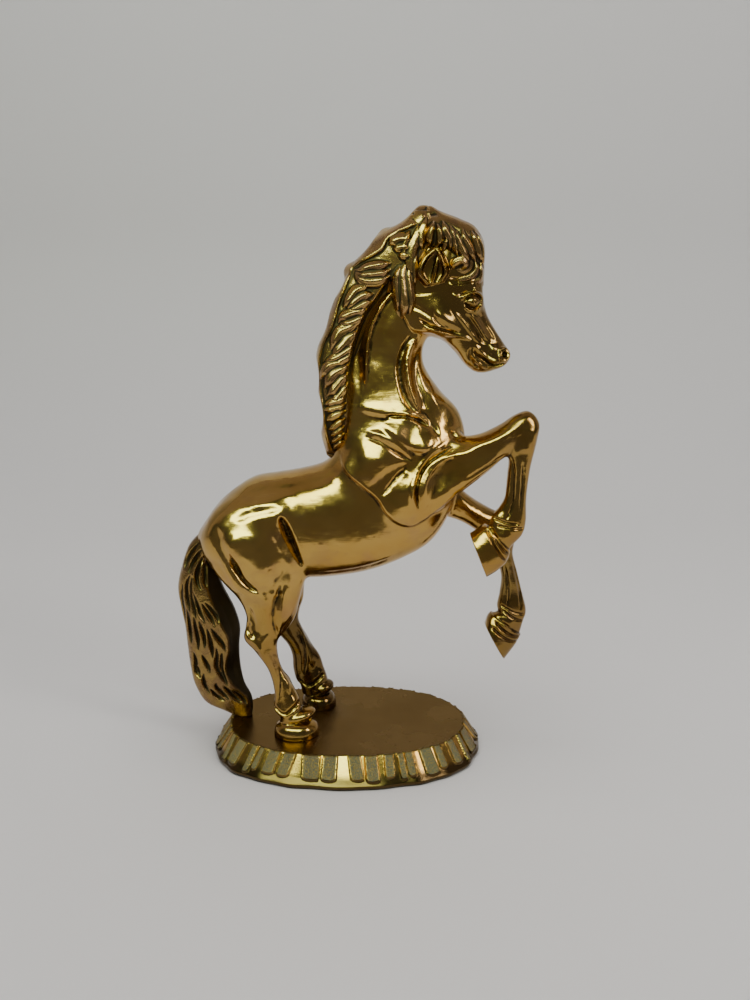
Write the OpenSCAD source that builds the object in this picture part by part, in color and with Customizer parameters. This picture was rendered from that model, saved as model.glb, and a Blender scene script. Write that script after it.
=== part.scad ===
// Rearing horse on an oval fluted base, cast in brass in several pieces.
// The horse faces +X, its left side is +Y, and the base stands on Z = 0.
// The origin is on the table, under the middle of the whole outline.
// Lengths are millimetres.

/* [Base] */
// Length of the base over its rim
base_length = 139; // [134:1:144]
// Width of the base over its rim
base_width = 98; // [94:1:102]
// Height of the base, from the table to its flat top
base_height = 15; // [13:0.5:17]
// Number of flutes round the rim
flutes = 42; // [36:1:48]

/* [Castings] */
// Wall of the hollow body halves
wall = 3; // [2:0.5:4]
// Wall of the hollow base
base_wall = 3; // [2.5:0.5:4]
// Radius of the stub that each leg and the tail push into the body
stub_radius = 3.5; // [3:0.25:4]

/* [Fixings] */
// Radius of the screws that hold the hind hooves down
screw_radius = 2; // [1.5:0.25:2.5]
// Outer radius of the washers under the screw heads
washer_radius = 5; // [4.5:0.25:6]
// Radius of the pins that line the two body halves up
pin_radius = 1.5; // [1:0.25:2]

/* [Hidden] */
$fn = 48;

brass = [0.72, 0.53, 0.22];
dark_brass = [0.5, 0.37, 0.17];
steel = [0.62, 0.62, 0.6];

// Every place below is measured from a point this far behind the middle of the whole outline.
middle_x = 3.4;
// Middle of the base along the horse.
base_x = -0.6;
lip = 2;
boss_radius = 5.5;
boss_height = 4;
screw_head_radius = 3.6;
screw_head_height = 2.4;
washer_height = 0.8;
screw_depth = 9;
under_top = base_height - base_wall;

// Roundness of the sections: 2 is an ellipse, and more is fuller at the corners.
fullness = 2.25;
// Sides of a whole section.
sides = 20;

// A station is one cross-section, square to the horse's side view:
// [x and z of one edge, x and z of the other edge, y of its middle, half-width].

// Rump to the top of the neck: back and crest edge first, belly and throat edge second.
body_line = [
    [-75.5, 117, -73, 107, 0, 6],
    [-71.5, 123, -68, 101, 0, 15],
    [-65, 132, -58, 97, 0, 20.5],
    [-56, 140, -44, 96, 0, 23],
    [-46, 146, -30, 95.5, 0, 23.5],
    [-35, 148, -18, 94.5, 0, 23],
    [-23, 150, -4, 95.5, 0, 22.5],
    [-12, 153, 12, 98.5, 0, 22.5],
    [-7, 158, 28, 104.5, 0, 22.5],
    [-6, 166, 42, 113, 0, 21],
    [-5.5, 176, 51, 127, 0, 19.5],
    [-5, 185, 56, 146, 0, 18],
    [-4, 193, 58.5, 165, 0, 16],
    [-2, 202, 55, 179, 0, 14.5],
    [2, 213, 46, 189, 0, 13.5],
    [6, 224, 38.5, 200, 0, 12.5],
    [11, 233, 37, 208, 0, 12],
    [16, 240, 39, 214, 0, 11.5],
];
// The hollow runs between these two stations.
hollow_from = 2;
hollow_to = 14;

// Throat to nose: forehead edge first, jaw edge second. The head starts on the neck's last station.
head_line = [
    [15, 252, 41, 215, 0, 11],
    [23, 262, 43, 214.5, 0, 11.5],
    [35, 268, 45, 214, 0, 12],
    [47, 268, 47, 213, 0, 12.3],
    [57, 262, 49, 211.5, 0, 12],
    [63, 253, 51, 209.5, 0, 11.5],
    [65.3, 243, 53.5, 206.8, 0, 10.5],
    [65.8, 234, 56, 203.5, 0, 9.5],
    [68, 225.5, 59, 200.5, 0, 8.3],
    [72, 218.5, 63, 198, 0, 7.5],
    [76, 212.5, 68, 197.8, 0, 7.4],
    [79, 207.5, 74, 200, 0, 6.2],
    [79, 205.5, 77.5, 203, 0, 2],
];

// Curl of hair between the ears, down the forehead.
forelock_line = [
    [40, 275.5, 41, 262, 0, 5],
    [46, 273, 44, 258, 0, 8],
    [54, 270, 50, 256, 0, 9.5],
    [61, 266.5, 55, 253, 0, 10],
    [65.5, 259, 57.5, 250, 0, 9.5],
    [66, 249, 60, 244, 0, 7.5],
    [65.8, 239, 62.5, 236, 0, 4],
];

// Withers to the poll: outer edge of the crest first, front edge of the locks second.
mane_line = [
    [-8.5, 156, -3, 153, 0, 3],
    [-10.5, 169, 1, 166, 0, 13],
    [-11.5, 181, 3, 176, 0, 15.5],
    [-13.5, 193, 4, 186, 0, 15.5],
    [-14.5, 206, 6, 197, 0, 15],
    [-11.5, 217, 9, 207, 0, 14.5],
    [-7, 229, 14, 218, 0, 14],
    [-2, 241, 20, 229, 0, 13.5],
    [6, 253, 27, 238, 0, 13.3],
    [15, 262.5, 33, 245, 0, 13.2],
    [25.5, 269, 38, 250, 0, 12.8],
    [34, 275.5, 40, 254, 0, 10],
    [39, 276, 41, 262, 0, 6],
];

// Dock to tip: hind edge first, front edge second.
tail_line = [
    [-75.5, 122, -66, 110, 0, 6],
    [-79, 110.5, -71, 103.5, 0.5, 7],
    [-84.5, 99.5, -67.5, 97.5, 1, 8.5],
    [-87, 88.5, -64, 87.5, 1.5, 9.5],
    [-86, 77.5, -59, 76.5, 2, 10],
    [-84.5, 67, -56.3, 66, 2.5, 10],
    [-83.8, 56, -57, 55, 3, 9.5],
    [-83, 45, -56.8, 44, 3.5, 8.5],
    [-81.2, 34, -55, 34, 4, 7.5],
    [-76, 23.5, -51.8, 27, 4.5, 6],
    [-67, 18.5, -51, 21.5, 4.7, 4.7],
    [-60, base_height, -51.5, base_height, 5, 3.5],
];

// Elbow to sole: front edge first, back edge second.
foreleg_right_line = [
    [50, 170, 38, 128, -9, 7],
    [57, 168.5, 46, 133.5, -12, 8.5],
    [65, 170, 57, 142.2, -14, 8.7],
    [74, 174.6, 67.5, 151, -15.5, 8],
    [81, 179.4, 74.5, 157.5, -16, 7],
    [87.5, 181, 77.5, 158.8, -16, 6.4],
    [92.3, 175.5, 78.3, 156.5, -16, 6.2],
    [91.6, 167, 78, 151.5, -16, 5.4],
    [88.8, 153, 77.6, 145.5, -16, 4.7],
    [87.5, 139, 77, 139, -16, 4.6],
    [87.6, 127.5, 74.5, 134, -16, 5.2],
    [86, 120.5, 71.5, 130.5, -16, 5.6],
    [81, 114.5, 69.5, 125, -16, 5.2],
    [79, 106.5, 69, 121.5, -16, 7.5],
    [69, 99, 62, 121, -16, 9.3],
];
foreleg_left_line = [
    [50, 150, 33, 122, 8, 7],
    [57, 138.5, 46, 123.5, 11, 8],
    [65, 131.5, 58, 120, 13, 7.6],
    [74, 126, 68, 113.5, 14, 7],
    [83, 121.5, 72, 109.5, 14, 6.6],
    [87, 113, 73.5, 105, 14, 6.2],
    [86, 102.5, 77.5, 99, 14, 5],
    [88.8, 91.5, 80.3, 90, 14, 4.6],
    [91.5, 81, 79.8, 81, 14, 4.7],
    [94, 71, 78.6, 74, 14, 5.5],
    [92.5, 64.5, 79, 70, 14, 5.2],
    [90.5, 56.5, 76, 69, 14, 7.5],
    [83, 44, 73.3, 63.5, 14, 9.3],
];
hind_leg_right_line = [
    [-24, 118, -58, 116, -11, 8],
    [-21, 100, -66, 102.5, -12, 11],
    [-23.5, 87, -55, 88, -13, 9.8],
    [-26, 77.5, -50.6, 79, -14.5, 8],
    [-30, 71.5, -50.6, 73, -15.5, 6.6],
    [-34.7, 65.5, -51.5, 66.5, -16.3, 5.8],
    [-35, 58.5, -46.5, 60.5, -16.8, 5.1],
    [-33, 50.5, -40.7, 52, -17, 4.5],
    [-29, 43.8, -38, 44.5, -17.2, 4.5],
    [-25, 36, -36.9, 37, -17.5, 5],
    [-23.8, 31.5, -37.3, 29, -17.5, 5.6],
    [-23, 29, -34.5, 26, -17.5, 5.5],
    [-18.5, 26, -35.3, 24, -17.5, 8.3],
    [-14.5, 15, -37.4, 15, -17.5, 9.6],
];
hind_leg_left_line = [
    [-24, 118, -58, 116, 11, 8],
    [-21, 100, -66, 102.5, 12, 11],
    [-23, 87, -53.5, 88, 13, 9.8],
    [-24, 77.5, -49, 79, 14.5, 8],
    [-26, 71, -48, 73, 15.5, 6.6],
    [-26.8, 65, -46, 66.5, 16.3, 5.8],
    [-24.5, 58.5, -40, 59, 16.8, 5.1],
    [-20.5, 50.8, -33.5, 51.5, 17, 4.7],
    [-16, 44, -30.7, 44.5, 17.2, 4.7],
    [-13.8, 37, -30.3, 37, 17.5, 5.2],
    [-12.3, 32.5, -28.8, 30.5, 17.5, 5.5],
    [-11.5, 29.5, -26.5, 27.5, 17.5, 5.5],
    [-9, 26, -26, 24, 17.5, 8.3],
    [-7.3, 15, -25.7, 15, 17.5, 9.2],
];

hooves = [[-26, -17.5], [-16.5, 17.5]];

// One more station halfway between each two, on a smooth curve through all of them.
function halfway(line, i) =
    let (last = len(line) - 1, a = line[max(i - 1, 0)], d = line[min(i + 2, last)])
    (9 * (line[i] + line[i + 1]) - a - d) / 16;
function smooth(line) = [
    for (i = [0:len(line) - 1], half = [0, 1])
        if (half == 0) line[i]
        else if (i < len(line) - 1) halfway(line, i)
];

// The body and the head are two stretches of one line, so their joint is flush.
horse_rings = smooth(concat(body_line, head_line));
neck_end = 2 * (len(body_line) - 1);
body_rings = [for (i = [0:neck_end]) horse_rings[i]];
head_rings = [for (i = [neck_end:len(horse_rings) - 1]) horse_rings[i]];

// Moves what is measured along the horse to the middle of the whole outline.
module centred() translate([-middle_x, 0, 0]) children();

function rounded(v) = sign(v) * pow(abs(v), 2 / fullness);
// The point of a station's outline at an angle: 0 is its first edge, 90 is towards +Y.
function outline_point(s, angle) =
    let (c = rounded(cos(angle)), w = rounded(sin(angle)))
    [
        (s[0] + s[2]) / 2 + c * (s[0] - s[2]) / 2,
        s[4] + w * s[5],
        (s[1] + s[3]) / 2 + c * (s[1] - s[3]) / 2,
    ];
// A station moved inwards by a wall.
function inside(s, by) =
    let (across = norm([s[0] - s[2], s[1] - s[3]]), k = by / across)
    [
        s[0] + (s[2] - s[0]) * k, s[1] + (s[3] - s[1]) * k,
        s[2] + (s[0] - s[2]) * k, s[3] + (s[1] - s[3]) * k,
        s[4], s[5] - by,
    ];
// Positive when a line's outlines turn clockwise about its own direction.
function turn(line) =
    let (a = line[0], b = line[1])
    let (ahead = [b[0] + b[2] - a[0] - a[2], b[1] + b[3] - a[1] - a[3]])
    (a[0] - a[2]) * ahead[1] - (a[1] - a[3]) * ahead[0];
function reversed(list) = [for (i = [len(list) - 1:-1:0]) list[i]];
function facing(faces, outward) = outward ? faces : [for (f = faces) reversed(f)];

// A closed solid through every station of a line.
module loft(line) {
    rings = len(line);
    points = [for (s = line, k = [0:sides - 1]) outline_point(s, 360 * k / sides)];
    walls = [
        for (i = [0:rings - 2], k = [0:sides - 1])
            let (j = (k + 1) % sides, a = i * sides, b = (i + 1) * sides)
            each [[a + k, b + k, b + j], [a + k, b + j, a + j]]
    ];
    ends = [
        [for (k = [0:sides - 1]) k],
        [for (k = [sides - 1:-1:0]) (rings - 1) * sides + k],
    ];
    polyhedron(points, facing(concat(walls, ends), turn(line) > 0), convexity = 6);
}

// One hollow half of a line, from the middle plane out to +Y (side = 1) or -Y (side = -1).
module half_shell(line, first, last, side) {
    n = sides / 2;
    row = n + 1;
    rings = len(line);
    outer = [for (s = line, k = [0:n]) outline_point(s, side * 180 * k / n)];
    inner = [
        for (i = [first:last], k = [0:n]) outline_point(inside(line[i], wall), side * 180 * k / n)
    ];
    in0 = rings * row;
    outside_faces = [
        for (i = [0:rings - 2], k = [0:n - 1])
            let (a = i * row + k, b = a + row)
            each [[a, b, b + 1], [a, b + 1, a + 1]]
    ];
    inside_faces = [
        for (i = [0:last - first - 1], k = [0:n - 1])
            let (a = in0 + i * row + k, b = a + row)
            each [[a, b + 1, b], [a, a + 1, b + 1]]
    ];
    // On the middle plane: the solid ends, and the two edges of the hollow.
    solid_ends = [
        for (i = [0:rings - 2])
            if (i < first - 1 || i > last) let (a = i * row, b = a + row) [a, a + n, b + n, b]
    ];
    a1 = first * row;
    b1 = last * row;
    in_a = in0;
    in_b = in0 + (last - first) * row;
    joins = [
        [a1 - row, a1 - row + n, a1 + n, in_a + n, in_a, a1],
        [b1 + row, b1, in_b, in_b + n, b1 + n, b1 + row + n],
    ];
    rims = [
        for (i = [0:last - first - 1])
            let (a = (first + i) * row, b = a + row, c = in0 + i * row, d = c + row)
            each [[a, c, d, b], [a + n, b + n, d + n, c + n]]
    ];
    caps = [
        [for (k = [0:n]) k],
        [for (k = [n:-1:0]) (rings - 1) * row + k],
        [for (k = [n:-1:0]) in_a + k],
        [for (k = [0:n]) in_b + k],
    ];
    faces = concat(outside_faces, inside_faces, solid_ends, joins, rims, caps);
    polyhedron(
        concat(outer, inner), facing(faces, turn(line) * side > 0), convexity = 8
    );
}

// The smooth outsides that the pieces brazed onto the body and the head are fitted to.
module body_form() loft(body_rings);
module head_form() loft(head_rings);
module body_and_head_form() loft(horse_rings);

// A round bar from one point to another.
module bar(from, to, radius) {
    along = to - from;
    translate(from)
        rotate([0, acos(along[2] / norm(along)), atan2(along[1], along[0])])
            cylinder(h = norm(along), r = radius);
}

// Stubs, from inside each brazed piece to inside the hollow body.
stubs = [
    [[60, -13, 152], [36, -11, 142]],
    [[58, 12, 129], [38, 8, 138]],
    [[-42, -13, 88], [-42, -13, 108]],
    [[-42, 13, 88], [-42, 13, 108]],
];
module stub(i) bar(stubs[i][0], stubs[i][1], stub_radius);

pins = [[-68.5, 117.5], [10, 216], [33, 205]];
pin_length = 8;
module body_pin_set()
    for (p = pins)
        translate([p[0], pin_length / 2, p[1]])
            rotate([90, 0, 0])
                cylinder(h = pin_length, r = pin_radius);

neck_ends = [[22, 0, 217], [32, 0, 237]];
dowel_radius = 3;
module neck_bar() bar(neck_ends[0], neck_ends[1], dowel_radius);

rivet_ends = [[-80, 0.5, 107], [-62, 0, 113]];
rivet_radius = 2;
module rivet_bar() bar(rivet_ends[0], rivet_ends[1], rivet_radius);

module body_half(side) {
    color(brass)
        centred()
            difference() {
                half_shell(body_rings, 2 * hollow_from, 2 * hollow_to, side);
                body_pin_set();
                neck_bar();
                rivet_bar();
                for (i = [0:3]) stub(i);
            }
}
module body_right_half() body_half(-1);
module body_left_half() body_half(1);

ear = [
    [38, 240, 46.5, 241, -10.5, 2],
    [35, 247, 48, 247, -12, 3],
    [37, 252.5, 46.5, 252.5, -12.5, 2.6],
    [41.5, 258, 43, 258, -12.5, 0.8],
];
module head() {
    color(brass)
        centred()
            difference() {
                union() {
                    head_form();
                    for (side = [0, 1]) mirror([0, side, 0]) loft(ear);
                }
                neck_bar();
            }
}

module forelock() {
    color(dark_brass)
        centred()
            difference() {
                loft(smooth(forelock_line));
                head_form();
            }
}

module mane() {
    color(dark_brass)
        centred()
            difference() {
                loft(smooth(mane_line));
                body_and_head_form();
                loft(smooth(forelock_line));
            }
}

module tail() {
    color(dark_brass)
        centred()
            difference() {
                loft(smooth(tail_line));
                body_form();
                rivet_bar();
            }
}

// A leg fitted to the outside of the body, with its stub.
module fitted_leg(line, i) {
    difference() {
        loft(smooth(line));
        body_form();
    }
    stub(i);
}
module foreleg_right() color(brass) centred() fitted_leg(foreleg_right_line, 0);
module foreleg_left() color(brass) centred() fitted_leg(foreleg_left_line, 1);

module at_hooves()
    for (at = hooves)
        translate([at[0], at[1], 0])
            children();
module shanks(from, to, radius)
    at_hooves()
        translate([0, 0, from])
            cylinder(h = to - from, r = radius);

module hind_leg(line, i) {
    color(brass)
        centred()
            difference() {
                union() fitted_leg(line, i);
                shanks(base_height - 1, base_height + screw_depth, screw_radius);
            }
}
module hind_leg_right() hind_leg(hind_leg_right_line, 2);
module hind_leg_left() hind_leg(hind_leg_left_line, 3);

module body_pins() color(steel) centred() body_pin_set();
module neck_dowel() color(steel) centred() neck_bar();
module tail_rivet() color(brass) centred() rivet_bar();

boss_base = under_top - boss_height;
washer_base = boss_base - washer_height;
module screw_washers() {
    color(brass)
        centred()
            difference() {
                shanks(washer_base, boss_base, washer_radius);
                shanks(washer_base - 1, boss_base + 1, screw_radius + 0.2);
            }
}
module hoof_screws() {
    color(steel)
        centred()
            union() {
                shanks(washer_base - screw_head_height, washer_base, screw_head_radius);
                shanks(washer_base, base_height + screw_depth, screw_radius);
            }
}

// One turn of the base's outline at a height. Between two ridges a flute dips in by its depth.
per_flute = 5;
around = flutes * per_flute;
function dip(k) = pow(abs(sin(180 * k / per_flute)), 0.7);
function rim_ring(a, b, z, depth) = [
    for (k = [0:around - 1])
        let (t = 360 * k / around, r = 1 - depth * dip(k) / a)
        [base_x + a * r * rounded(cos(t)), b * r * rounded(sin(t)), z]
];
half_l = base_length / 2;
half_w = base_width / 2;
// Height, distance in from the rim and flute depth of each ring, from the rim's foot to the top.
rim_rings = [
    [0, 0.5, 0.6], [lip, 0, 0.6], [lip + 0.6, 0.9, 1.6],
    [base_height * 0.55, 4, 2.2], [base_height - 1.2, 8, 1.8], [base_height, 9, 0.9],
];
module base_shell() {
    outer = [
        for (r = rim_rings)
            each rim_ring(half_l - r[1], half_w - r[1] * 0.9, r[0], r[2])
    ];
    reach = rim_rings[len(rim_rings) - 1][1] + base_wall;
    inner = concat(
        rim_ring(half_l - base_wall * 2, half_w - base_wall * 2, 0, 0),
        rim_ring(half_l - reach, half_w - reach, under_top, 0)
    );
    rings = len(rim_rings);
    in0 = rings * around;
    centres = [[base_x, 0, base_height], [base_x, 0, under_top]];
    top_centre = in0 + 2 * around;
    band = function(a, b)
        [
            for (k = [0:around - 1])
                let (j = (k + 1) % around)
                each [[a + k, b + k, b + j], [a + k, b + j, a + j]]
        ];
    walls = [for (i = [0:rings - 2]) each band(i * around, (i + 1) * around)];
    top = [for (k = [0:around - 1]) [in0 - around + k, top_centre, in0 - around + (k + 1) % around]];
    foot = band(in0, 0);
    hollow = band(in0 + around, in0);
    roof = [for (k = [0:around - 1]) [in0 + around + (k + 1) % around, top_centre + 1, in0 + around + k]];
    polyhedron(concat(outer, inner, centres), concat(walls, top, foot, hollow, roof), convexity = 8);
}
module base() {
    color(brass)
        centred()
            difference() {
                union() {
                    base_shell();
                    shanks(boss_base, under_top, boss_radius);
                }
                shanks(boss_base - 1, base_height + 1, screw_radius + 0.3);
            }
}

base();
body_right_half();
body_left_half();
head();
forelock();
mane();
tail();
foreleg_right();
foreleg_left();
hind_leg_right();
hind_leg_left();
body_pins();
neck_dowel();
hoof_screws();
screw_washers();
tail_rivet();
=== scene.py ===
"""The rearing brass horse on its fluted base.

The castings are sculpted as blocks of signed distances in millimetres, given their creases and hair by
strokes drawn in side view, turned into meshes, and cut into the pieces that the CAD names.
"""
import math

import bpy
import numpy as np
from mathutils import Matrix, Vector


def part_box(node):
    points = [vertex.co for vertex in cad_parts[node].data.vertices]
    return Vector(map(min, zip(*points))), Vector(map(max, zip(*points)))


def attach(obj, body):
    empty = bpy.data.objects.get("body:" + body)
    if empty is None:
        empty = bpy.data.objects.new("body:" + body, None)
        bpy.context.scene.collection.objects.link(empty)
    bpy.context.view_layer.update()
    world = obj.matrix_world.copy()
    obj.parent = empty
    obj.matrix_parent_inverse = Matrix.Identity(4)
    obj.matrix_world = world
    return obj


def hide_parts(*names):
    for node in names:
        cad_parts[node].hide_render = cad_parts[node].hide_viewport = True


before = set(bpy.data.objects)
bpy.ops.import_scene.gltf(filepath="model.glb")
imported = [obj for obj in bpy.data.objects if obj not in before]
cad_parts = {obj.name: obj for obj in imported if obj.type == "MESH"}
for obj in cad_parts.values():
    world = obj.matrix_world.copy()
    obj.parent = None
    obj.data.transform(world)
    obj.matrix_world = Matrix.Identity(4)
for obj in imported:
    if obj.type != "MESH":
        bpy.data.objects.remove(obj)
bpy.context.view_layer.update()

import openvdb
from mathutils import Vector
from mathutils.geometry import delaunay_2d_cdt

MM = 0.001
# The horse is drawn in the millimetres of the CAD's source, where the middle of the base has this X.
BASE_MIDDLE = -0.6
base_low, base_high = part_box("base")
SHIFT = np.array([(base_low[0] + base_high[0]) / 2 / MM - BASE_MIDDLE, 0.0, 0.0])
BASE_TOP = base_high[2] / MM
# Signed distances are kept up to this far from a surface.
REACH = 6.0
COARSE = 1.0
# Grid steps in mm, by how fine the relief is.
BODY_STEP, LEG_STEP, FINE_STEP = 0.6, 0.45, 0.36


# ---------------------------------------------------------------- curves and lofts

def smooth_curve(points, per_span=6):
    """A curve through every point, with per_span steps between each two (Catmull-Rom)."""
    p = np.array(points, float)
    p = np.vstack([2 * p[0] - p[1], p, 2 * p[-1] - p[-2]])
    t = np.linspace(0, 1, per_span, endpoint=False)[:, None]
    out = []
    for a, b, c, d in zip(p[:-3], p[1:-2], p[2:-1], p[3:]):
        out.append(0.5 * (2 * b + (c - a) * t + (2 * a - 5 * b + 4 * c - d) * t**2
                          + (3 * b - a - 3 * c + d) * t**3))
    return np.vstack(out + [p[-2:-1]])


def loft(stations, fullness=2.25, per_span=10, around=112):
    """A closed tube through stations, in the form that the CAD uses:
    x and z of one edge, x and z of the other edge, y of the middle, half-width."""
    s = smooth_curve(stations, per_span)
    a = np.linspace(0, 2 * np.pi, around, endpoint=False)
    power = 2 / fullness
    c = np.sign(np.cos(a)) * np.abs(np.cos(a)) ** power
    w = np.sign(np.sin(a)) * np.abs(np.sin(a)) ** power
    middle, half = (s[:, 0:2] + s[:, 2:4]) / 2, (s[:, 0:2] - s[:, 2:4]) / 2
    x = middle[:, :1] + half[:, :1] * c
    z = middle[:, 1:] + half[:, 1:] * c
    y = s[:, 4:5] + np.maximum(s[:, 5:6], 0.3) * w
    points = np.stack([x, y, z], axis=2).reshape(-1, 3)
    ends = np.array([points[:around].mean(0), points[-around:].mean(0)])
    rings = len(s)
    i = (np.arange(rings - 1) * around)[:, None]
    k = np.arange(around)[None]
    j = (k + 1) % around
    quads = np.stack([i + k, i + j, i + around + j, i + around + k], axis=2).reshape(-1, 4)
    k, j = k[0], j[0]
    last = (rings - 1) * around
    tips = [np.stack([np.full(around, len(points)), j, k], axis=1),
            np.stack([np.full(around, len(points) + 1), last + k, last + j], axis=1)]
    return np.vstack([points, ends]), np.vstack([quads[:, [0, 1, 2]], quads[:, [0, 2, 3]]] + tips)


# ---------------------------------------------------------------- blocks of signed distances

def smooth_min(a, b, k):
    """The nearer of two surfaces, with a fillet of about k where they meet."""
    if not k:
        return np.minimum(a, b)
    h = np.maximum(k - np.abs(a - b), 0) / k
    return np.minimum(a, b) - h * h * k / 4


class Block:
    """Signed distances in mm on a regular grid, negative inside."""

    def __init__(self, low, high, step):
        self.step = step * COARSE
        self.low = np.floor(np.array(low) / self.step).astype(int)
        self.size = tuple(np.ceil(np.array(high) / self.step).astype(int) - self.low + 1)
        self.d = np.full(self.size, REACH, np.float32)

    def axes(self, window=(slice(None),) * 3):
        """The grid's x, y and z, shaped to broadcast over a window of it."""
        full = [(self.low[i] + np.arange(self.size[i])) * self.step for i in range(3)]
        x, y, z = (full[i][window[i]].astype(np.float32) for i in range(3))
        return x[:, None, None], y[None, :, None], z[None, None, :]

    def window(self, low, high):
        a = np.clip(np.floor(np.array(low) / self.step).astype(int) - self.low, 0, self.size)
        b = np.clip(np.ceil(np.array(high) / self.step).astype(int) - self.low + 1, 0, self.size)
        return tuple(slice(i, j) for i, j in zip(a, b))

    def solid(self, mesh):
        """The distances to a closed mesh, and the window that they fill."""
        points, tris = mesh
        w = self.window(points.min(0) - REACH, points.max(0) + REACH)
        if any(s.start >= s.stop for s in w):
            return self.d[w], w
        grid = openvdb.FloatGrid.createLevelSetFromPolygons(
            (points / self.step).astype(np.float32), triangles=tris.astype(np.uint32),
            transform=openvdb.createLinearTransform(1.0), halfWidth=REACH / self.step + 1)
        out = np.full([s.stop - s.start for s in w], REACH, np.float32)
        grid.copyToArray(out, ijk=[int(self.low[i] + w[i].start) for i in range(3)])
        return np.clip(out * self.step, -REACH, REACH), w

    def add(self, mesh, k=0.0):
        d, w = self.solid(mesh)
        self.d[w] = smooth_min(self.d[w], d, k)

    def cut(self, mesh, k=0.0):
        d, w = self.solid(mesh)
        self.d[w] = -smooth_min(-self.d[w], d, k)

    def merge(self, other, k):
        """Adds a block that has the same step and reaches nowhere past this one."""
        start = other.low - self.low
        w = tuple(slice(a, a + n) for a, n in zip(start, other.size))
        self.d[w] = smooth_min(self.d[w], other.d, k)

    def ball(self, centre, radii, k, turn=0.0, cut=False):
        """Adds or cuts an ellipsoid, turned in side view by an angle in degrees."""
        centre, radii = np.array(centre, float), np.array(radii, float)
        w = self.window(centre - radii.max() - k, centre + radii.max() + k)
        if 0 in self.d[w].shape:
            return
        x, y, z = self.axes(w)
        x, y, z = x - centre[0], y - centre[1], z - centre[2]
        c, s = math.cos(math.radians(turn)), math.sin(math.radians(turn))
        u, v = x * c + z * s, z * c - x * s
        r = np.sqrt((u / radii[0])**2 + (y / radii[1])**2 + (v / radii[2])**2) + 1e-6
        g = np.sqrt((u / radii[0]**2)**2 + (y / radii[1]**2)**2 + (v / radii[2]**2)**2) + 1e-6
        d = np.clip(r * (r - 1) / g, -REACH, REACH)
        if cut:
            self.d[w] = -smooth_min(-self.d[w], d, k)
        else:
            self.d[w] = smooth_min(self.d[w], d, k)

    def soften(self, radius):
        """Smooths the surface over a radius in mm."""
        self.d = blurred(self.d, radius / self.step)

    def emboss(self, relief):
        """Raises the surface by a relief where it faces sideways."""
        x, y, z = self.axes()
        h = relief.at(x.ravel(), z.ravel())
        lean = np.abs(np.gradient(self.d, self.step, axis=1))
        self.d -= h[:, None, :] * np.clip(1.6 * lean - 0.15, 0, 1)

    def mesh(self):
        """The surface as points and triangles, facing out."""
        grid = openvdb.FloatGrid(REACH)
        grid.copyFromArray(np.ascontiguousarray(self.d), ijk=[int(v) for v in self.low])
        points, quads = grid.convertToQuads(0.0)
        points, quads = points.astype(float) * self.step, quads.astype(np.int64)
        tris = np.vstack([quads[:, [0, 1, 2]], quads[:, [0, 2, 3]]])
        a, b, c = (points[tris[:, i]] for i in range(3))
        if np.einsum("ij,ij->i", a, np.cross(b, c)).sum() < 0:
            tris = tris[:, ::-1]
        return Surface(points, tris)

    def at(self, points):
        """The distances at points, in mm (trilinear)."""
        p = np.clip(points / self.step - self.low, 0, np.array(self.size) - 1.001)
        i = p.astype(int)
        f = p - i
        out = 0
        for corner in range(8):
            o = np.array([corner & 1, corner >> 1 & 1, corner >> 2])
            weight = np.prod(np.where(o, f, 1 - f), axis=1)
            out = out + weight * self.d[tuple((i + o).T)]
        return out


# ---------------------------------------------------------------- relief drawn in side view

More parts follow.
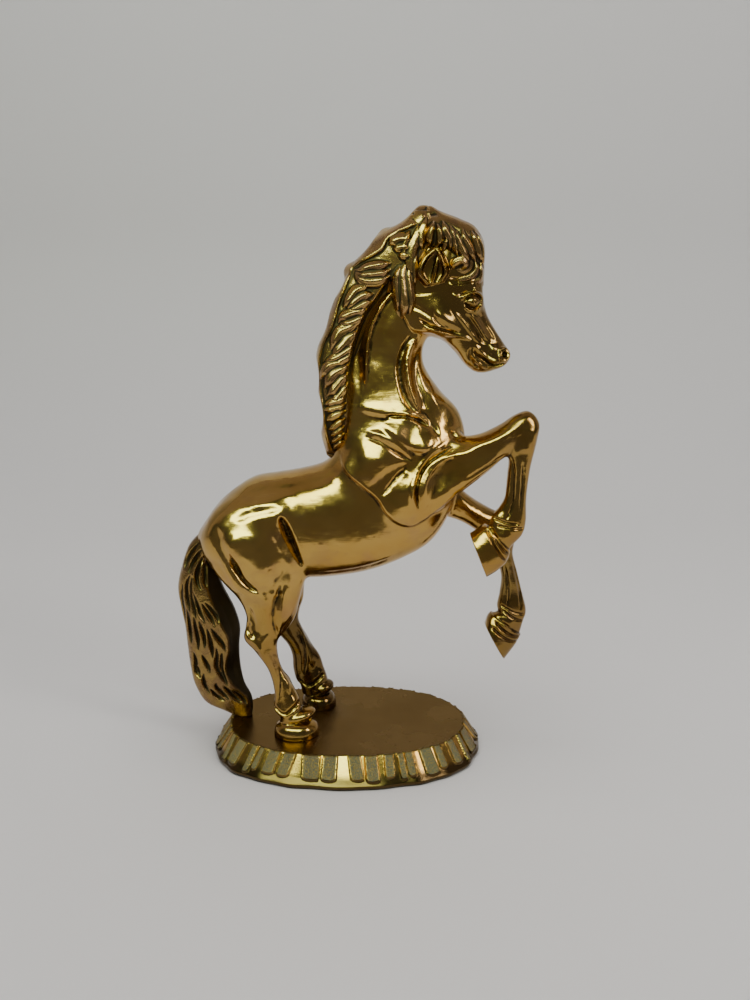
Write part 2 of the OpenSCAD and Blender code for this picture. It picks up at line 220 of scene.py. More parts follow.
class Relief:
    """Heights in mm over a rectangle of the side view, drawn with strokes.
    A stroke is a list of (x, z); its left side is on the left of its travel with +X to the right."""

    def __init__(self, low, high, step=0.25, ground=0.0):
        self.low, self.step, self.ground = np.array(low, float), step, ground
        size = np.ceil((np.array(high) - self.low) / step).astype(int) + 1
        self.h = np.full(size, ground, np.float32)

    def near(self, path, reach):
        """The window around a path, the distance to it there, positive on its left, and the
        place along it from 0 to 1."""
        size = self.h.shape
        a = np.clip(((path.min(0) - reach - self.low) / self.step).astype(int), 0, size)
        b = np.clip(((path.max(0) + reach - self.low) / self.step).astype(int) + 2, 0, size)
        x = (self.low[0] + np.arange(a[0], b[0]) * self.step)[:, None].astype(np.float32)
        z = (self.low[1] + np.arange(a[1], b[1]) * self.step)[None].astype(np.float32)
        best = np.full((b[0] - a[0], b[1] - a[1]), 1e9, np.float32)
        side, along = np.ones_like(best), np.zeros_like(best)
        start = 0.0
        for p, q in zip(path[:-1], path[1:]):
            ux, uz = (q - p).astype(np.float32)
            length = float(np.hypot(ux, uz)) + 1e-9
            px, pz = x - np.float32(p[0]), z - np.float32(p[1])
            t = np.clip((px * ux + pz * uz) / length**2, 0, 1)
            dx, dz = px - t * ux, pz - t * uz
            d = dx * dx + dz * dz
            closer = d < best
            best = np.where(closer, d, best)
            side = np.where(closer, np.where(ux * dz - uz * dx >= 0, 1.0, -1.0), side)
            along = np.where(closer, start + t * length, along)
            start += length
        return (slice(a[0], b[0]), slice(a[1], b[1])), np.sqrt(best) * side, along / start

    def groove(self, points, depth, width, taper=0.25):
        """A groove that fades out at both ends. A negative depth makes a ridge."""
        w, s, t = self.near(smooth_curve(points), 3 * width)
        fade = fade_ends(t, taper)
        self.h[w] -= depth * fade * np.exp(-(s / (width * (0.4 + 0.6 * fade)))**2)

    def ridge(self, points, height, width, taper=0.25):
        self.groove(points, -height, width, taper)

    def fold(self, points, height, fall, edge=0.6, taper=0.2):
        """A step up onto the left side, which falls away again over a distance."""
        w, s, t = self.near(smooth_curve(points), 3 * fall)
        rise = 1 / (1 + np.exp(np.clip(-s / (edge * 0.35), -30, 30)))
        self.h[w] += height * fade_ends(t, taper) * rise * np.exp(-(np.maximum(s, 0) / fall)**1.5)

    def pillow(self, outline, height, fall):
        """Raises the inside of a closed outline, rounded towards its edge."""
        path = smooth_curve(list(outline) + [outline[0]], 4)
        w, s, _ = self.near(path, fall)
        area = np.sum(path[:-1, 0] * path[1:, 1] - path[1:, 0] * path[:-1, 1])
        inside = np.maximum(s * np.sign(area), 0) * self.within(w, path)
        self.h[w] += blurred(height * (1 - np.exp(-(inside / fall)**2)), 0.45 * fall / self.step)

    def within(self, w, path):
        """True inside a closed path, in a window."""
        x = (self.low[0] + np.arange(w[0].start, w[0].stop) * self.step)[:, None]
        z = (self.low[1] + np.arange(w[1].start, w[1].stop) * self.step)[None]
        return inside_edges(x, z, zip(path[:-1], path[1:]))

    def lock(self, points, height, width, hairs=2, taper=0.4):
        """A raised lock of hair, pointed at both ends, with fine hairs along it."""
        w, s, t = self.near(smooth_curve(points), width + 0.6)
        half = width * fade_ends(t, taper) + 1e-3
        q = np.clip(s / half, -1, 1)
        body = height * fade_ends(t, taper * 0.7) * np.sqrt(1 - q * q)
        if hairs:
            body *= 1 - 0.16 * (0.5 - 0.5 * np.cos(q * hairs * np.pi + 0.6))
        self.h[w] = np.maximum(self.h[w], self.ground + body)

    def bevel(self, points, slope, limit):
        """Lets the right side of a path fall away from it."""
        w, s, _ = self.near(smooth_curve(points), 1e3)
        beyond = np.maximum(-s, 0)
        self.h[w] -= limit * (1 - np.exp(-beyond * slope / limit))

    def trim(self, outline, depth, fall):
        """Sinks everything outside a closed outline."""
        path = np.array(list(outline) + [outline[0]], float)
        path = np.vstack([smooth_curve(path[:-1], 4), path[:1]])
        _, s, _ = self.near(path, 1e3)
        w = (slice(0, self.h.shape[0]), slice(0, self.h.shape[1]))
        outside = np.where(self.within(w, path), 0, np.abs(s))
        self.h -= depth * (1 - np.exp(-(outside / fall)**2))

    def at(self, x, z):
        """Heights at every pair of an x and a z (bilinear), zero outside the rectangle."""
        px = (x - self.low[0]) / self.step
        pz = (z - self.low[1]) / self.step
        i = np.clip(px.astype(int), 0, self.h.shape[0] - 2)
        j = np.clip(pz.astype(int), 0, self.h.shape[1] - 2)
        f = np.clip(px - i, 0, 1)[:, None]
        g = np.clip(pz - j, 0, 1)[None]
        i, j = i[:, None], j[None]
        h = self.h
        return ((1 - f) * (1 - g) * h[i, j] + f * (1 - g) * h[i + 1, j]
                + (1 - f) * g * h[i, j + 1] + f * g * h[i + 1, j + 1]).astype(np.float32)


def inside_edges(x, y, edges):
    """True for the points that lie inside closed loops, given as edges between two corners."""
    inside = np.zeros(np.broadcast(x, y).shape, bool)
    for (ax, ay), (bx, by) in edges:
        if ay != by:
            crosses = (ay > y) != (by > y)
            inside ^= crosses & (x < (bx - ax) * (y - ay) / (by - ay) + ax)
    return inside


def blurred(field, cells):
    """Smooths an array along all its axes, over a radius in cells."""
    n = max(int(round(cells)), 1)
    weights = np.array([math.exp(-(i / n)**2 * 2) for i in range(-n, n + 1)], np.float32)
    weights /= weights.sum()
    if not field.size:
        return field
    for axis in range(field.ndim):
        pad = [(n, n) if i == axis else (0, 0) for i in range(field.ndim)]
        wide = np.pad(field, pad, mode="edge")
        field = np.zeros_like(field)
        for i, weight in enumerate(weights):
            window = [slice(None)] * field.ndim
            window[axis] = slice(i, i + field.shape[axis])
            field += weight * wide[tuple(window)]
    return field


def fade_ends(t, taper):
    """Rises from 0 to 1 over the first part of a stroke and falls again over the last."""
    edge = np.clip(np.minimum(t, 1 - t) / taper, 0, 1)
    return np.sin(edge * np.pi / 2)


# ---------------------------------------------------------------- surfaces, cuts and objects

def vertex_normals(points, tris):
    """Unit normals at the points, weighted by the size of the faces round them."""
    a, b, c = (points[tris[:, i]] for i in range(3))
    face = np.cross(b - a, c - a)
    out = np.stack([sum(np.bincount(tris[:, i], face[:, axis], len(points)) for i in range(3))
                    for axis in range(3)], axis=1)
    return out / (np.linalg.norm(out, axis=1, keepdims=True) + 1e-12)


def averages(points, tris, values):
    """The mean of each point's neighbours' values."""
    total = np.zeros((len(points), values.shape[1]))
    count = np.zeros(len(points))
    for i, j in ((0, 1), (1, 2), (2, 0), (1, 0), (2, 1), (0, 2)):
        for axis in range(values.shape[1]):
            total[:, axis] += np.bincount(tris[:, i], values[tris[:, j], axis], len(points))
        count += np.bincount(tris[:, i], minlength=len(points))
    return total / np.maximum(count, 1)[:, None]


class Surface:
    """A closed triangle mesh with smooth normals, and flat caps where it was cut."""

    def __init__(self, points, tris):
        self.points, self.tris = points, tris
        self.normals = vertex_normals(points, tris)
        self.cap = np.zeros(len(tris), bool)
        self.recess = np.zeros(len(points))

    def relax(self, times=1, pull=0.4):
        """Evens out the steps of the grid."""
        for _ in range(times):
            for amount in (pull, -pull * 1.04):
                mean = averages(self.points, self.tris, self.points)
                self.points = self.points + amount * (mean - self.points)
        self.normals = vertex_normals(self.points, self.tris)

    def find_recesses(self, rounds=(4, 9), scale=3.0):
        """Marks hollows, from 0 on open ground to 1 in a crease."""
        mean = self.points.copy()
        total = np.zeros(len(mean))
        for i in range(max(rounds)):
            mean = averages(self.points, self.tris, mean)
            if i + 1 in rounds:
                total += np.einsum("ij,ij->i", mean - self.points, self.normals) * scale
        self.recess = np.clip(total / len(rounds) + 0.5, 0, 1)

    def cut(self, f, outward):
        """Keeps the part where f is negative and caps it. outward is the cap's rough direction."""
        f = np.where(np.abs(f) < 1e-6, -1e-6, f)
        keep = f < 0
        count = keep[self.tris].sum(axis=1)
        if count.max(initial=0) == 0 or count.min(initial=3) == 3:
            return self
        whole = self.tris[count == 3]
        whole_cap = self.cap[count == 3]
        # Each split triangle is turned so that its odd corner comes first.
        split = []
        for kept, odd_kept in ((1, True), (2, False)):
            tris = self.tris[count == kept]
            odd = np.argmax(keep[tris] == odd_kept, axis=1)
            rows = np.arange(len(tris))
            split.append((np.stack([tris[rows, (odd + k) % 3] for k in range(3)], axis=1),
                          self.cap[count == kept]))
        (one, one_cap), (two, two_cap) = split
        edges = np.vstack([one[:, [0, 1]], one[:, [0, 2]], two[:, [0, 1]], two[:, [0, 2]]])
        pairs, place = np.unique(np.sort(edges, axis=1), axis=0, return_inverse=True)
        place = place.ravel() + len(self.points)
        a, b = pairs.T
        t = (f[a] / (f[a] - f[b]))[:, None]
        points = np.vstack([self.points, self.points[a] * (1 - t) + self.points[b] * t])
        normals = np.vstack([self.normals, self.normals[a] * (1 - t) + self.normals[b] * t])
        recess = np.concatenate([self.recess, self.recess[a] * (1 - t[:, 0]) + self.recess[b] * t[:, 0]])
        n, m = len(one), len(two)
        ab, ac = place[:n], place[n:2 * n]
        dc, de = place[2 * n:2 * n + m], place[2 * n + m:]
        tris = np.vstack([whole, np.stack([one[:, 0], ab, ac], axis=1),
                          np.stack([dc, two[:, 1], two[:, 2]], axis=1),
                          np.stack([dc, two[:, 2], de], axis=1)])
        cap = np.concatenate([whole_cap, one_cap, two_cap, two_cap])
        rim = np.vstack([np.stack([ac, ab], axis=1), np.stack([dc, de], axis=1)])
        lids = cap_loops(points, rim, Vector(outward).normalized())
        used, tris_new = np.unique(np.vstack([tris, lids]), return_inverse=True)
        out = Surface.__new__(Surface)
        out.points, out.normals, out.recess = points[used], normals[used], recess[used]
        out.tris = tris_new.reshape(-1, 3)
        out.cap = np.concatenate([cap, np.ones(len(lids), bool)])
        return out

    def largest_part(self):
        """Drops everything but the largest connected part, so that a cut leaves no crumbs."""
        label = np.arange(len(self.points))
        a, b = self.tris[:, [0, 1]].T
        c = self.tris[:, 2]
        while True:
            lowest = np.minimum(np.minimum(label[a], label[b]), label[c])
            new = label.copy()
            for corner in (a, b, c):
                np.minimum.at(new, corner, lowest)
            new = new[new]
            if (new == label).all():
                break
            label = new
        keep = label[a] == np.bincount(label[a]).argmax()
        used, tris = np.unique(self.tris[keep], return_inverse=True)
        self.tris, self.cap = tris.reshape(-1, 3), self.cap[keep]
        self.points, self.normals, self.recess = self.points[used], self.normals[used], self.recess[used]
        return self

    def build(self, name, material, slot, replaces, painted_shade=0.0):
        """Makes the Blender object, in metres, riding on the body."""
        mesh = bpy.data.meshes.new(name)
        n = len(self.tris)
        mesh.vertices.add(len(self.points))
        mesh.vertices.foreach_set("co", ((self.points + SHIFT) * MM).astype(np.float32).ravel())
        mesh.loops.add(3 * n)
        mesh.loops.foreach_set("vertex_index", self.tris.astype(np.int32).ravel())
        mesh.polygons.add(n)
        mesh.polygons.foreach_set("loop_start", np.arange(0, 3 * n, 3, dtype=np.int32))
        mesh.update(calc_edges=True)
        mesh.shade_smooth()
        a, b, c = (self.points[self.tris[:, i]] for i in range(3))
        flat = np.cross(b - a, c - a)
        loop_normals = np.where(self.cap[:, None, None], flat[:, None], self.normals[self.tris])
        loop_normals /= np.linalg.norm(loop_normals, axis=2, keepdims=True) + 1e-12
        mesh.normals_split_custom_set(loop_normals.reshape(-1, 3))
        # The second attribute holds painted shade, which the materials mix into the colour.
        for key, values in (("recess", self.recess), ("painted_shade", painted_shade)):
            attribute = mesh.attributes.new(key, "FLOAT", "POINT")
            values = np.broadcast_to(values, len(self.points)).astype(np.float32)
            attribute.data.foreach_set("value", values)
        mesh.materials.append(material)
        piece = bpy.data.objects.new(name, mesh)
        bpy.context.scene.collection.objects.link(piece)
        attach(piece, "root")
        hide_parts(replaces)
        return piece


def cap_loops(points, rim, outward):
    """Triangles that close the loops of a rim."""
    following = dict(rim.tolist())
    across = outward.orthogonal().normalized()
    up = outward.cross(across)
    loops = []
    while following:
        start, here = following.popitem()
        loop = [start]
        while here != start and here in following:
            loop.append(here)
            here = following.pop(here)
        if len(loop) > 2:
            loops.append(loop)
    if not loops:
        return np.zeros((0, 3), int)
    out = fill_loops(points @ np.array([across, up]).T, loops)
    a, b, c = (points[out[:, i]] for i in range(3))
    wrong = np.cross(b - a, c - a) @ np.array(outward) < 0
    out[wrong] = out[wrong][:, ::-1]
    return out


def fill_loops(flat, loops):
    """Triangles between closed loops of flat points. A loop inside another one is a hole."""
    order = np.array([i for loop in loops for i in loop])
    edges, first = [], 0
    for loop in loops:
        n = len(loop)
        edges += [(first + i, first + (i + 1) % n) for i in range(n)]
        first += n
    places = flat[order]
    corners, _, faces, sources, _, _ = delaunay_2d_cdt([Vector(p) for p in places], edges, [], 1, 1e-7)
    corners = np.array(corners)
    faces = np.array([f for f in faces if len(f) == 3], dtype=np.int64)
    x, y = corners[faces].mean(axis=1).T
    inside = inside_edges(x, y, [(places[i], places[j]) for i, j in edges])
    source = np.array([s[0] if s else -1 for s in sources])
    out = source[faces[inside]]
    return order[out[(out >= 0).all(axis=1)]]


# ---------------------------------------------------------------- the horse's form

# Stations in mm, in the form that the CAD uses: x and z of one edge, x and z of the other edge, y,
# half-width.
TRUNK = [
    [-75.5, 117, -73, 107, 0, 6], [-71.5, 123, -68, 101, 0, 15], [-65, 132, -58, 97, 0, 20],
    [-56, 140, -44, 96, 0, 21.5], [-46, 146, -30, 95.5, 0, 21.5], [-35, 148, -18, 94.5, 0, 21.5],
    [-23, 150, -4, 95.5, 0, 22], [-12, 153, 12, 98.5, 0, 22], [-7, 158, 28, 104.5, 0, 21],
    [-6, 166, 42, 113, 0, 19.5], [-5.5, 176, 51, 127, 0, 18.5], [-5, 185, 56, 146, 0, 17.5],
    [-4, 193, 58.5, 165, 0, 16], [-2, 202, 55, 179, 0, 14.5], [2, 213, 46, 189, 0, 13],
    [6, 224, 38.5, 200, 0, 12], [11, 233, 37, 208, 0, 11.5], [16, 240, 39, 214, 0, 11],
]
HEAD = [
    [15, 252, 41, 215, 0, 10.5], [23, 262, 43, 214.5, 0, 11.5], [35, 268, 45, 214, 0, 12],
    [47, 268, 47, 213, 0, 12], [57, 262, 49, 211.5, 0, 11.3], [63, 253, 51, 209.5, 0, 10.5],
    [65.3, 243, 53.5, 206.8, 0, 9.6], [65.8, 234, 56, 203.5, 0, 8.6],
    [68, 225.5, 59, 200.5, 0, 7.6], [72, 218.5, 63, 198, 0, 7], [76, 212.5, 68, 197.8, 0, 7.2],
    [79, 207.5, 74, 200, 0, 6.2], [79, 205.5, 77.5, 203, 0, 2],
]
FORELOCK = [
    [40, 275.5, 41, 262, 0, 5], [46, 273, 44, 258, 0, 10.5], [54, 270, 48, 254, 0, 12.4],
    [61, 266.5, 50, 250, 0, 12.6], [65.5, 259, 51.5, 246.5, 0, 11.6],
    [66, 249, 53, 241.5, 0, 9.8], [65.8, 239, 60, 236, 0, 6],
]
MANE = [
    [-10, 157, -3, 153, 0, 3], [-12.7, 169, 1.5, 166, 0, 13], [-13.5, 181, 3.5, 176, 0, 15.5],
    [-14, 193, 4.5, 186, 0, 15.5], [-14.5, 206, 6.5, 197, 0, 15], [-11.5, 217, 10, 207, 0, 14.5],
    [-7, 229, 15, 218, 0, 14], [-2, 241, 22, 229, 0, 13.7], [6, 253, 31, 232, 0, 13.6],
    [15, 262.5, 37, 238, 0, 13.6], [25.5, 269, 40, 247, 0, 13], [34, 275.5, 41, 254, 0, 12],
    [39, 276, 41, 262, 0, 9],
]
TAIL = [
    [-73.4, 118.2, -64.5, 109, 0, 6.4], [-80.3, 110.6, -71, 103.5, 0.5, 7.4],
    [-84.5, 99.5, -67.5, 97.5, 1, 8.5], [-87, 88.5, -64, 87.5, 1.5, 9.5], [-86, 77.5, -59, 76.5, 2, 10],
    [-84.5, 67, -56.3, 66, 2.5, 10], [-83.8, 56, -57, 55, 3, 9.5], [-83, 45, -56.8, 44, 3.5, 8.5],
    [-81.2, 34, -55, 34, 4, 7.5], [-76, 23.5, -51.8, 27, 4.5, 6], [-67, 18.5, -51, 21.5, 4.7, 4.7],
    [-60, BASE_TOP, -51.5, BASE_TOP, 5, 3.5],
]
# An ear's stations have no y of their own: both ears stand this far from the middle.
EAR_PLACE = 12.6
EAR = [[37.5, 239.5, 46, 241.5, 2.2], [33.2, 245, 48, 245.5, 3.6], [35.2, 251.5, 46.6, 251, 3.2],
       [39.6, 255.6, 44.6, 255, 2], [42, 257.8, 43, 257.6, 0.6]]
# A leg's stations go from the elbow or stifle to the sole, front edge first.
FORELEG_RIGHT = [
    [50, 170, 38, 128, -9, 7], [57, 168.5, 46, 133.5, -12, 8.5], [65, 170, 57, 142.2, -14, 8.7],
    [74, 174.6, 67.5, 151, -15.5, 8], [81, 179.4, 74.5, 157.5, -16, 7],
    [87.5, 181, 77.5, 158.8, -16, 6.4], [92.3, 175.5, 78.3, 156.5, -16, 6.2],
    [91.6, 167, 78, 151.5, -16, 5.4], [88.8, 153, 77.6, 145.5, -16, 4.7], [87.5, 139, 77, 139, -16, 4.6],
    [87.6, 127.5, 74.5, 134, -16, 5.2], [86, 120.5, 71.5, 130.5, -16, 5.6],
    [81, 114.5, 69.5, 125, -16, 5.2], [78.8, 109.8, 67, 124.6, -16, 5.4],
]
FORELEG_RIGHT_HOOF = [[80.5, 112, 68, 125.5, -16, 6.8], [78.6, 106.6, 65.8, 124.5, -16, 7.8],
                      [74, 102.2, 62.6, 121.8, -16, 8.7], [69, 99, 60.4, 120.4, -16, 9.3]]
FORELEG_LEFT = [
    [50, 150, 33, 122, 8, 7], [57, 138.5, 46, 123.5, 11, 8], [65, 131.5, 58, 120, 13, 7.6],
    [74, 126, 68, 113.5, 14, 7], [83, 121.5, 72, 109.5, 14, 6.6], [87, 113, 73.5, 105, 14, 6.2],
    [86, 102.5, 77.5, 99, 14, 5], [88.8, 91.5, 80.3, 90, 14, 4.6], [91.5, 81, 79.8, 81, 14, 4.7],
    [94, 71, 78.6, 74, 14, 5.5], [92.5, 64.5, 79, 70, 14, 5.2], [91, 58.5, 76.5, 69, 14, 5.2],
    [89.4, 55, 75.2, 67.6, 14, 5.4],
]
FORELEG_LEFT_HOOF = [[91.6, 57.5, 75.4, 69.5, 14, 6.8], [88.6, 51.8, 73.6, 67, 14, 8],
                     [83, 44, 72.4, 62.8, 14, 9.3]]
HIND_LEG_RIGHT = [
    [-24, 118, -58, 116, -11, 8], [-21, 100, -66, 102.5, -12, 11], [-23.5, 87, -55, 88, -13, 9.8],
    [-26, 77.5, -50.6, 79, -14.5, 8], [-30, 71.5, -50.6, 73, -15.5, 6.6],
    [-34.7, 65.5, -51.5, 66.5, -16.3, 5.8], [-35, 58.5, -46.5, 60.5, -16.8, 5.1],
    [-33, 50.5, -40.7, 52, -17, 4.5], [-29, 43.8, -38, 44.5, -17.2, 4.5],
    [-25, 36, -36.9, 37, -17.5, 5], [-23.8, 31.5, -37.3, 29, -17.5, 5.6],
    [-23, 28, -34.5, 25, -17.5, 5.5], [-21.4, 24, -34.4, 21, -17.5, 5.7],
]
HIND_LEG_LEFT = [
    [-24, 118, -58, 116, 11, 8], [-21, 100, -66, 102.5, 12, 11], [-23, 87, -53.5, 88, 13, 9.8],
    [-24, 77.5, -49, 79, 14.5, 8], [-26, 71, -48, 73, 15.5, 6.6], [-26.8, 65, -46, 66.5, 16.3, 5.8],
    [-24.5, 58.5, -40, 59, 16.8, 5.1], [-20.5, 50.8, -33.5, 51.5, 17, 4.7],
    [-16, 44, -30.7, 44.5, 17.2, 4.7], [-13.8, 37, -30.3, 37, 17.5, 5.2],
    [-12.3, 32.5, -28.8, 30.5, 17.5, 5.5], [-11.5, 29, -26.5, 27, 17.5, 5.5],
    [-10.5, 24, -25.5, 22, 17.5, 5.7],
]
# Each hind leg's pastern bulge and hoof: middle of the sole, half-length and half-width of the sole.
HIND_HOOVES = [(-26, -17.5, 11.5, 9.6), (-16.5, 17.5, 9.3, 9.2)]
LEG_FILLET = 4.0
# The neck is joined to the head along this line, and the hind legs to the body at this height.
NECK_JOINT = [(16, 240), (39, 214)]
THIGH_JOINT = 95.0


def hind_hoof(block, middle_x, y, length, width):
    """A standing hoof: flared wall, rounded coronet and the pastern's bulge above it."""
    wall = [[middle_x + length * s, z, middle_x - length * s, z, y, width * s]
            for s, z in ((1.0, BASE_TOP), (1.0, BASE_TOP + 1.8), (0.96, BASE_TOP + 4), (0.86, BASE_TOP + 6),
                         (0.68, BASE_TOP + 7.4))]
    block.add(loft(wall, 2.1), 0.8)
    block.ball((middle_x + 1.2, y, BASE_TOP + 10.4), (length * 0.76, width * 0.72, 3.8), 0.8, 16)


def sculpt_body(block):
    """The trunk, neck and head with their muscles, without legs."""
    block.add(loft(TRUNK + HEAD))
    for side in (-1, 1):
        # Haunch, point of the hip and thigh.
        block.ball((-48, 11.4 * side, 118), (21, 13.4, 18.5), 6, 20)
        block.ball((-38, 15.5 * side, 130.5), (11, 7.5, 6.5), 6, 10)
        block.ball((-43, 13 * side, 104), (16, 10.5, 18), 6, -12)
        # Shoulder blade, upper arm, and breast.
        block.ball((14, 10 * side, 156), (13, 11, 22), 6, -28)
        block.ball((30, 12 * side, 141), (17, 10.5, 12), 6, 38)
        block.ball((40, 9 * side, 160), (14, 10, 13), 6, 20)
        # Cheek, eye socket and muzzle.
        block.ball((42, 6 * side, 226), (12.5, 6.4, 9), 4, -30)
        block.ball((59, 6 * side, 232), (6, 4.6, 6), 3, 0)
        block.ball((73.5, 3.4 * side, 206), (5, 4.4, 4.6), 3, 0)
    block.soften(1.6)


def sculpt_legs(block):
    """Each leg is added on its own, so that a pair never melts together."""
    for line, hoof in ((FORELEG_RIGHT, FORELEG_RIGHT_HOOF), (FORELEG_LEFT, FORELEG_LEFT_HOOF)):
        block.add(loft(line), LEG_FILLET)
        block.add(loft(hoof, 2.4), 0.5)
    for line, hoof in zip((HIND_LEG_RIGHT, HIND_LEG_LEFT), HIND_HOOVES):
        block.add(loft(line), LEG_FILLET)
        hind_hoof(block, *hoof)


# ---------------------------------------------------------------- creases, muscles' edges and the face

def draw_face(r):
    """Eye, lids, brow, cheek, jaw, mouth and nostril."""
    # The eye lies in a shallow socket, between lids that meet in two corners.
    r.pillow([(52, 231.5), (55, 236.5), (61, 238), (66, 235), (67, 229.5), (61, 225.5), (55, 227)], -0.9, 4)
    r.pillow([(56.6, 232.3), (58.3, 234), (60.2, 234.6), (62.2, 234), (63.8, 232.2), (62, 230), (59.8, 229.3),
              (57.8, 230.3)], 1.4, 1.2)
    r.groove([(55.8, 232.2), (58.1, 234.4), (60.2, 235.1), (62.5, 234.5), (64.4, 232.2)], 1.1, 0.5, 0.12)
    r.groove([(55.8, 232), (57.7, 229.9), (59.8, 228.8), (62, 229.4), (64.2, 231.8)], 0.9, 0.5, 0.12)
    r.ridge([(54.2, 232.6), (57.2, 235.4), (60.2, 236.4), (63.4, 235.6), (65.8, 232.4)], 0.8, 0.6)
    r.ridge([(54.8, 230.4), (57.4, 228.3), (60, 227.3), (62.8, 228.1), (65.2, 230.6)], 0.5, 0.6)
    r.groove([(51.5, 233.4), (55.2, 235.6), (60.2, 237), (64.8, 236.2)], 0.6, 0.5)
    r.groove([(60.8, 232.8), (60.6, 231.2)], 0.7, 0.7, 0.5)
    # Brow folds.
    r.fold([(62.6, 238.9), (58.9, 236.6), (53.9, 235.2), (49.6, 236)], 0.9, 3.5)
    r.fold([(61.6, 241.5), (56.3, 240.2), (51.3, 239.9), (48.2, 241)], 0.8, 3)
    r.groove([(48.3, 243.4), (53.5, 242.4), (59, 243.8), (62.5, 246)], 0.7, 0.8)
    # Cheek and jaw.
    r.fold([(60.4, 199), (57.1, 202.4), (54.5, 206.8), (51.9, 210), (46.7, 213.8), (41.6, 216.9),
            (37.2, 217.4), (31.5, 219), (28.3, 224), (25.8, 228.8), (23.9, 233.6), (24.4, 238)][::-1],
           1.5, 9, 0.7, 0.1)
    r.groove([(27.5, 231), (31, 230.4), (37.1, 227.4), (42.8, 223.7), (49.2, 220.2)], 0.6, 1.3)
    r.groove([(34.3, 224.7), (37.8, 221.9), (43.5, 219.8), (49.2, 218.2), (54.3, 217.3)], 1.1, 0.65)
    r.ridge([(36.5, 220.3), (43.5, 218.3), (49.2, 216.6), (55.6, 215.6), (60.7, 213.7)], 0.8, 0.8)
    r.pillow([(42.1, 228.8), (46.5, 227.8), (51.6, 224.7), (55.5, 220.4), (54.9, 218.2), (49.2, 219.4),
              (44.7, 222.2), (42.5, 225.4)], 0.9, 2.2)
    r.groove([(40.6, 229.6), (41.6, 225.4), (43.9, 221.8), (48, 219.6)], 0.6, 0.7)
    r.ridge([(50.3, 228.3), (54.5, 223.3), (59, 218), (64.5, 211.6)], 0.8, 1.0)
    r.groove([(48.8, 229.4), (52.8, 224.6), (57, 219.4), (61.4, 213)], 0.5, 0.9)
    r.ridge([(58.4, 226.8), (62.6, 222), (66, 216.8), (69.4, 212.2)], 0.8, 0.9)
    r.groove([(56.6, 226.4), (60.6, 221.2), (64.4, 215.6), (67.2, 211.4)], 0.9, 1.1)
    r.groove([(62.3, 227.4), (65.6, 222.4), (68.7, 217.4), (71.4, 213.8)], 0.6, 0.9)
    # Muzzle.
    r.pillow([(67.6, 212.4), (71.2, 212.6), (73, 209.8), (70.7, 206), (67.8, 207.6)], 0.9, 1.8)
    r.ridge([(73.4, 208.6), (74.8, 210.2), (77, 210), (78.6, 208), (78.3, 205.3), (76.2, 203.9),
             (74.2, 204.8), (73.4, 207)], 0.7, 0.55, 0.05)
    r.pillow([(74.6, 207.4), (75.7, 208.9), (77.2, 208.4), (77.7, 206.6), (76.6, 205.1), (75, 205.6)],
             -2.4, 0.8)
    r.groove([(61.2, 209.4), (62.4, 207.4), (66.4, 204.7), (69.2, 202.4), (72.6, 202), (76.6, 202.9)],
             1.3, 0.5, 0.12)
    r.ridge([(62.2, 210.9), (64.4, 208.5), (68, 205.4), (71, 204), (74, 203.6)], 0.6, 0.7)
    r.ridge([(60.9, 207.6), (62.2, 204.2), (65.4, 201.6), (68.6, 200)], 0.8, 0.7)
    r.groove([(59.8, 210.6), (59, 206.8), (61.2, 202.8), (64.6, 200.2)], 0.8, 0.6)
    r.pillow([(59.6, 211.4), (62, 213.2), (65.4, 210.4), (64.2, 208.6), (61.2, 209)], 0.6, 1.2)


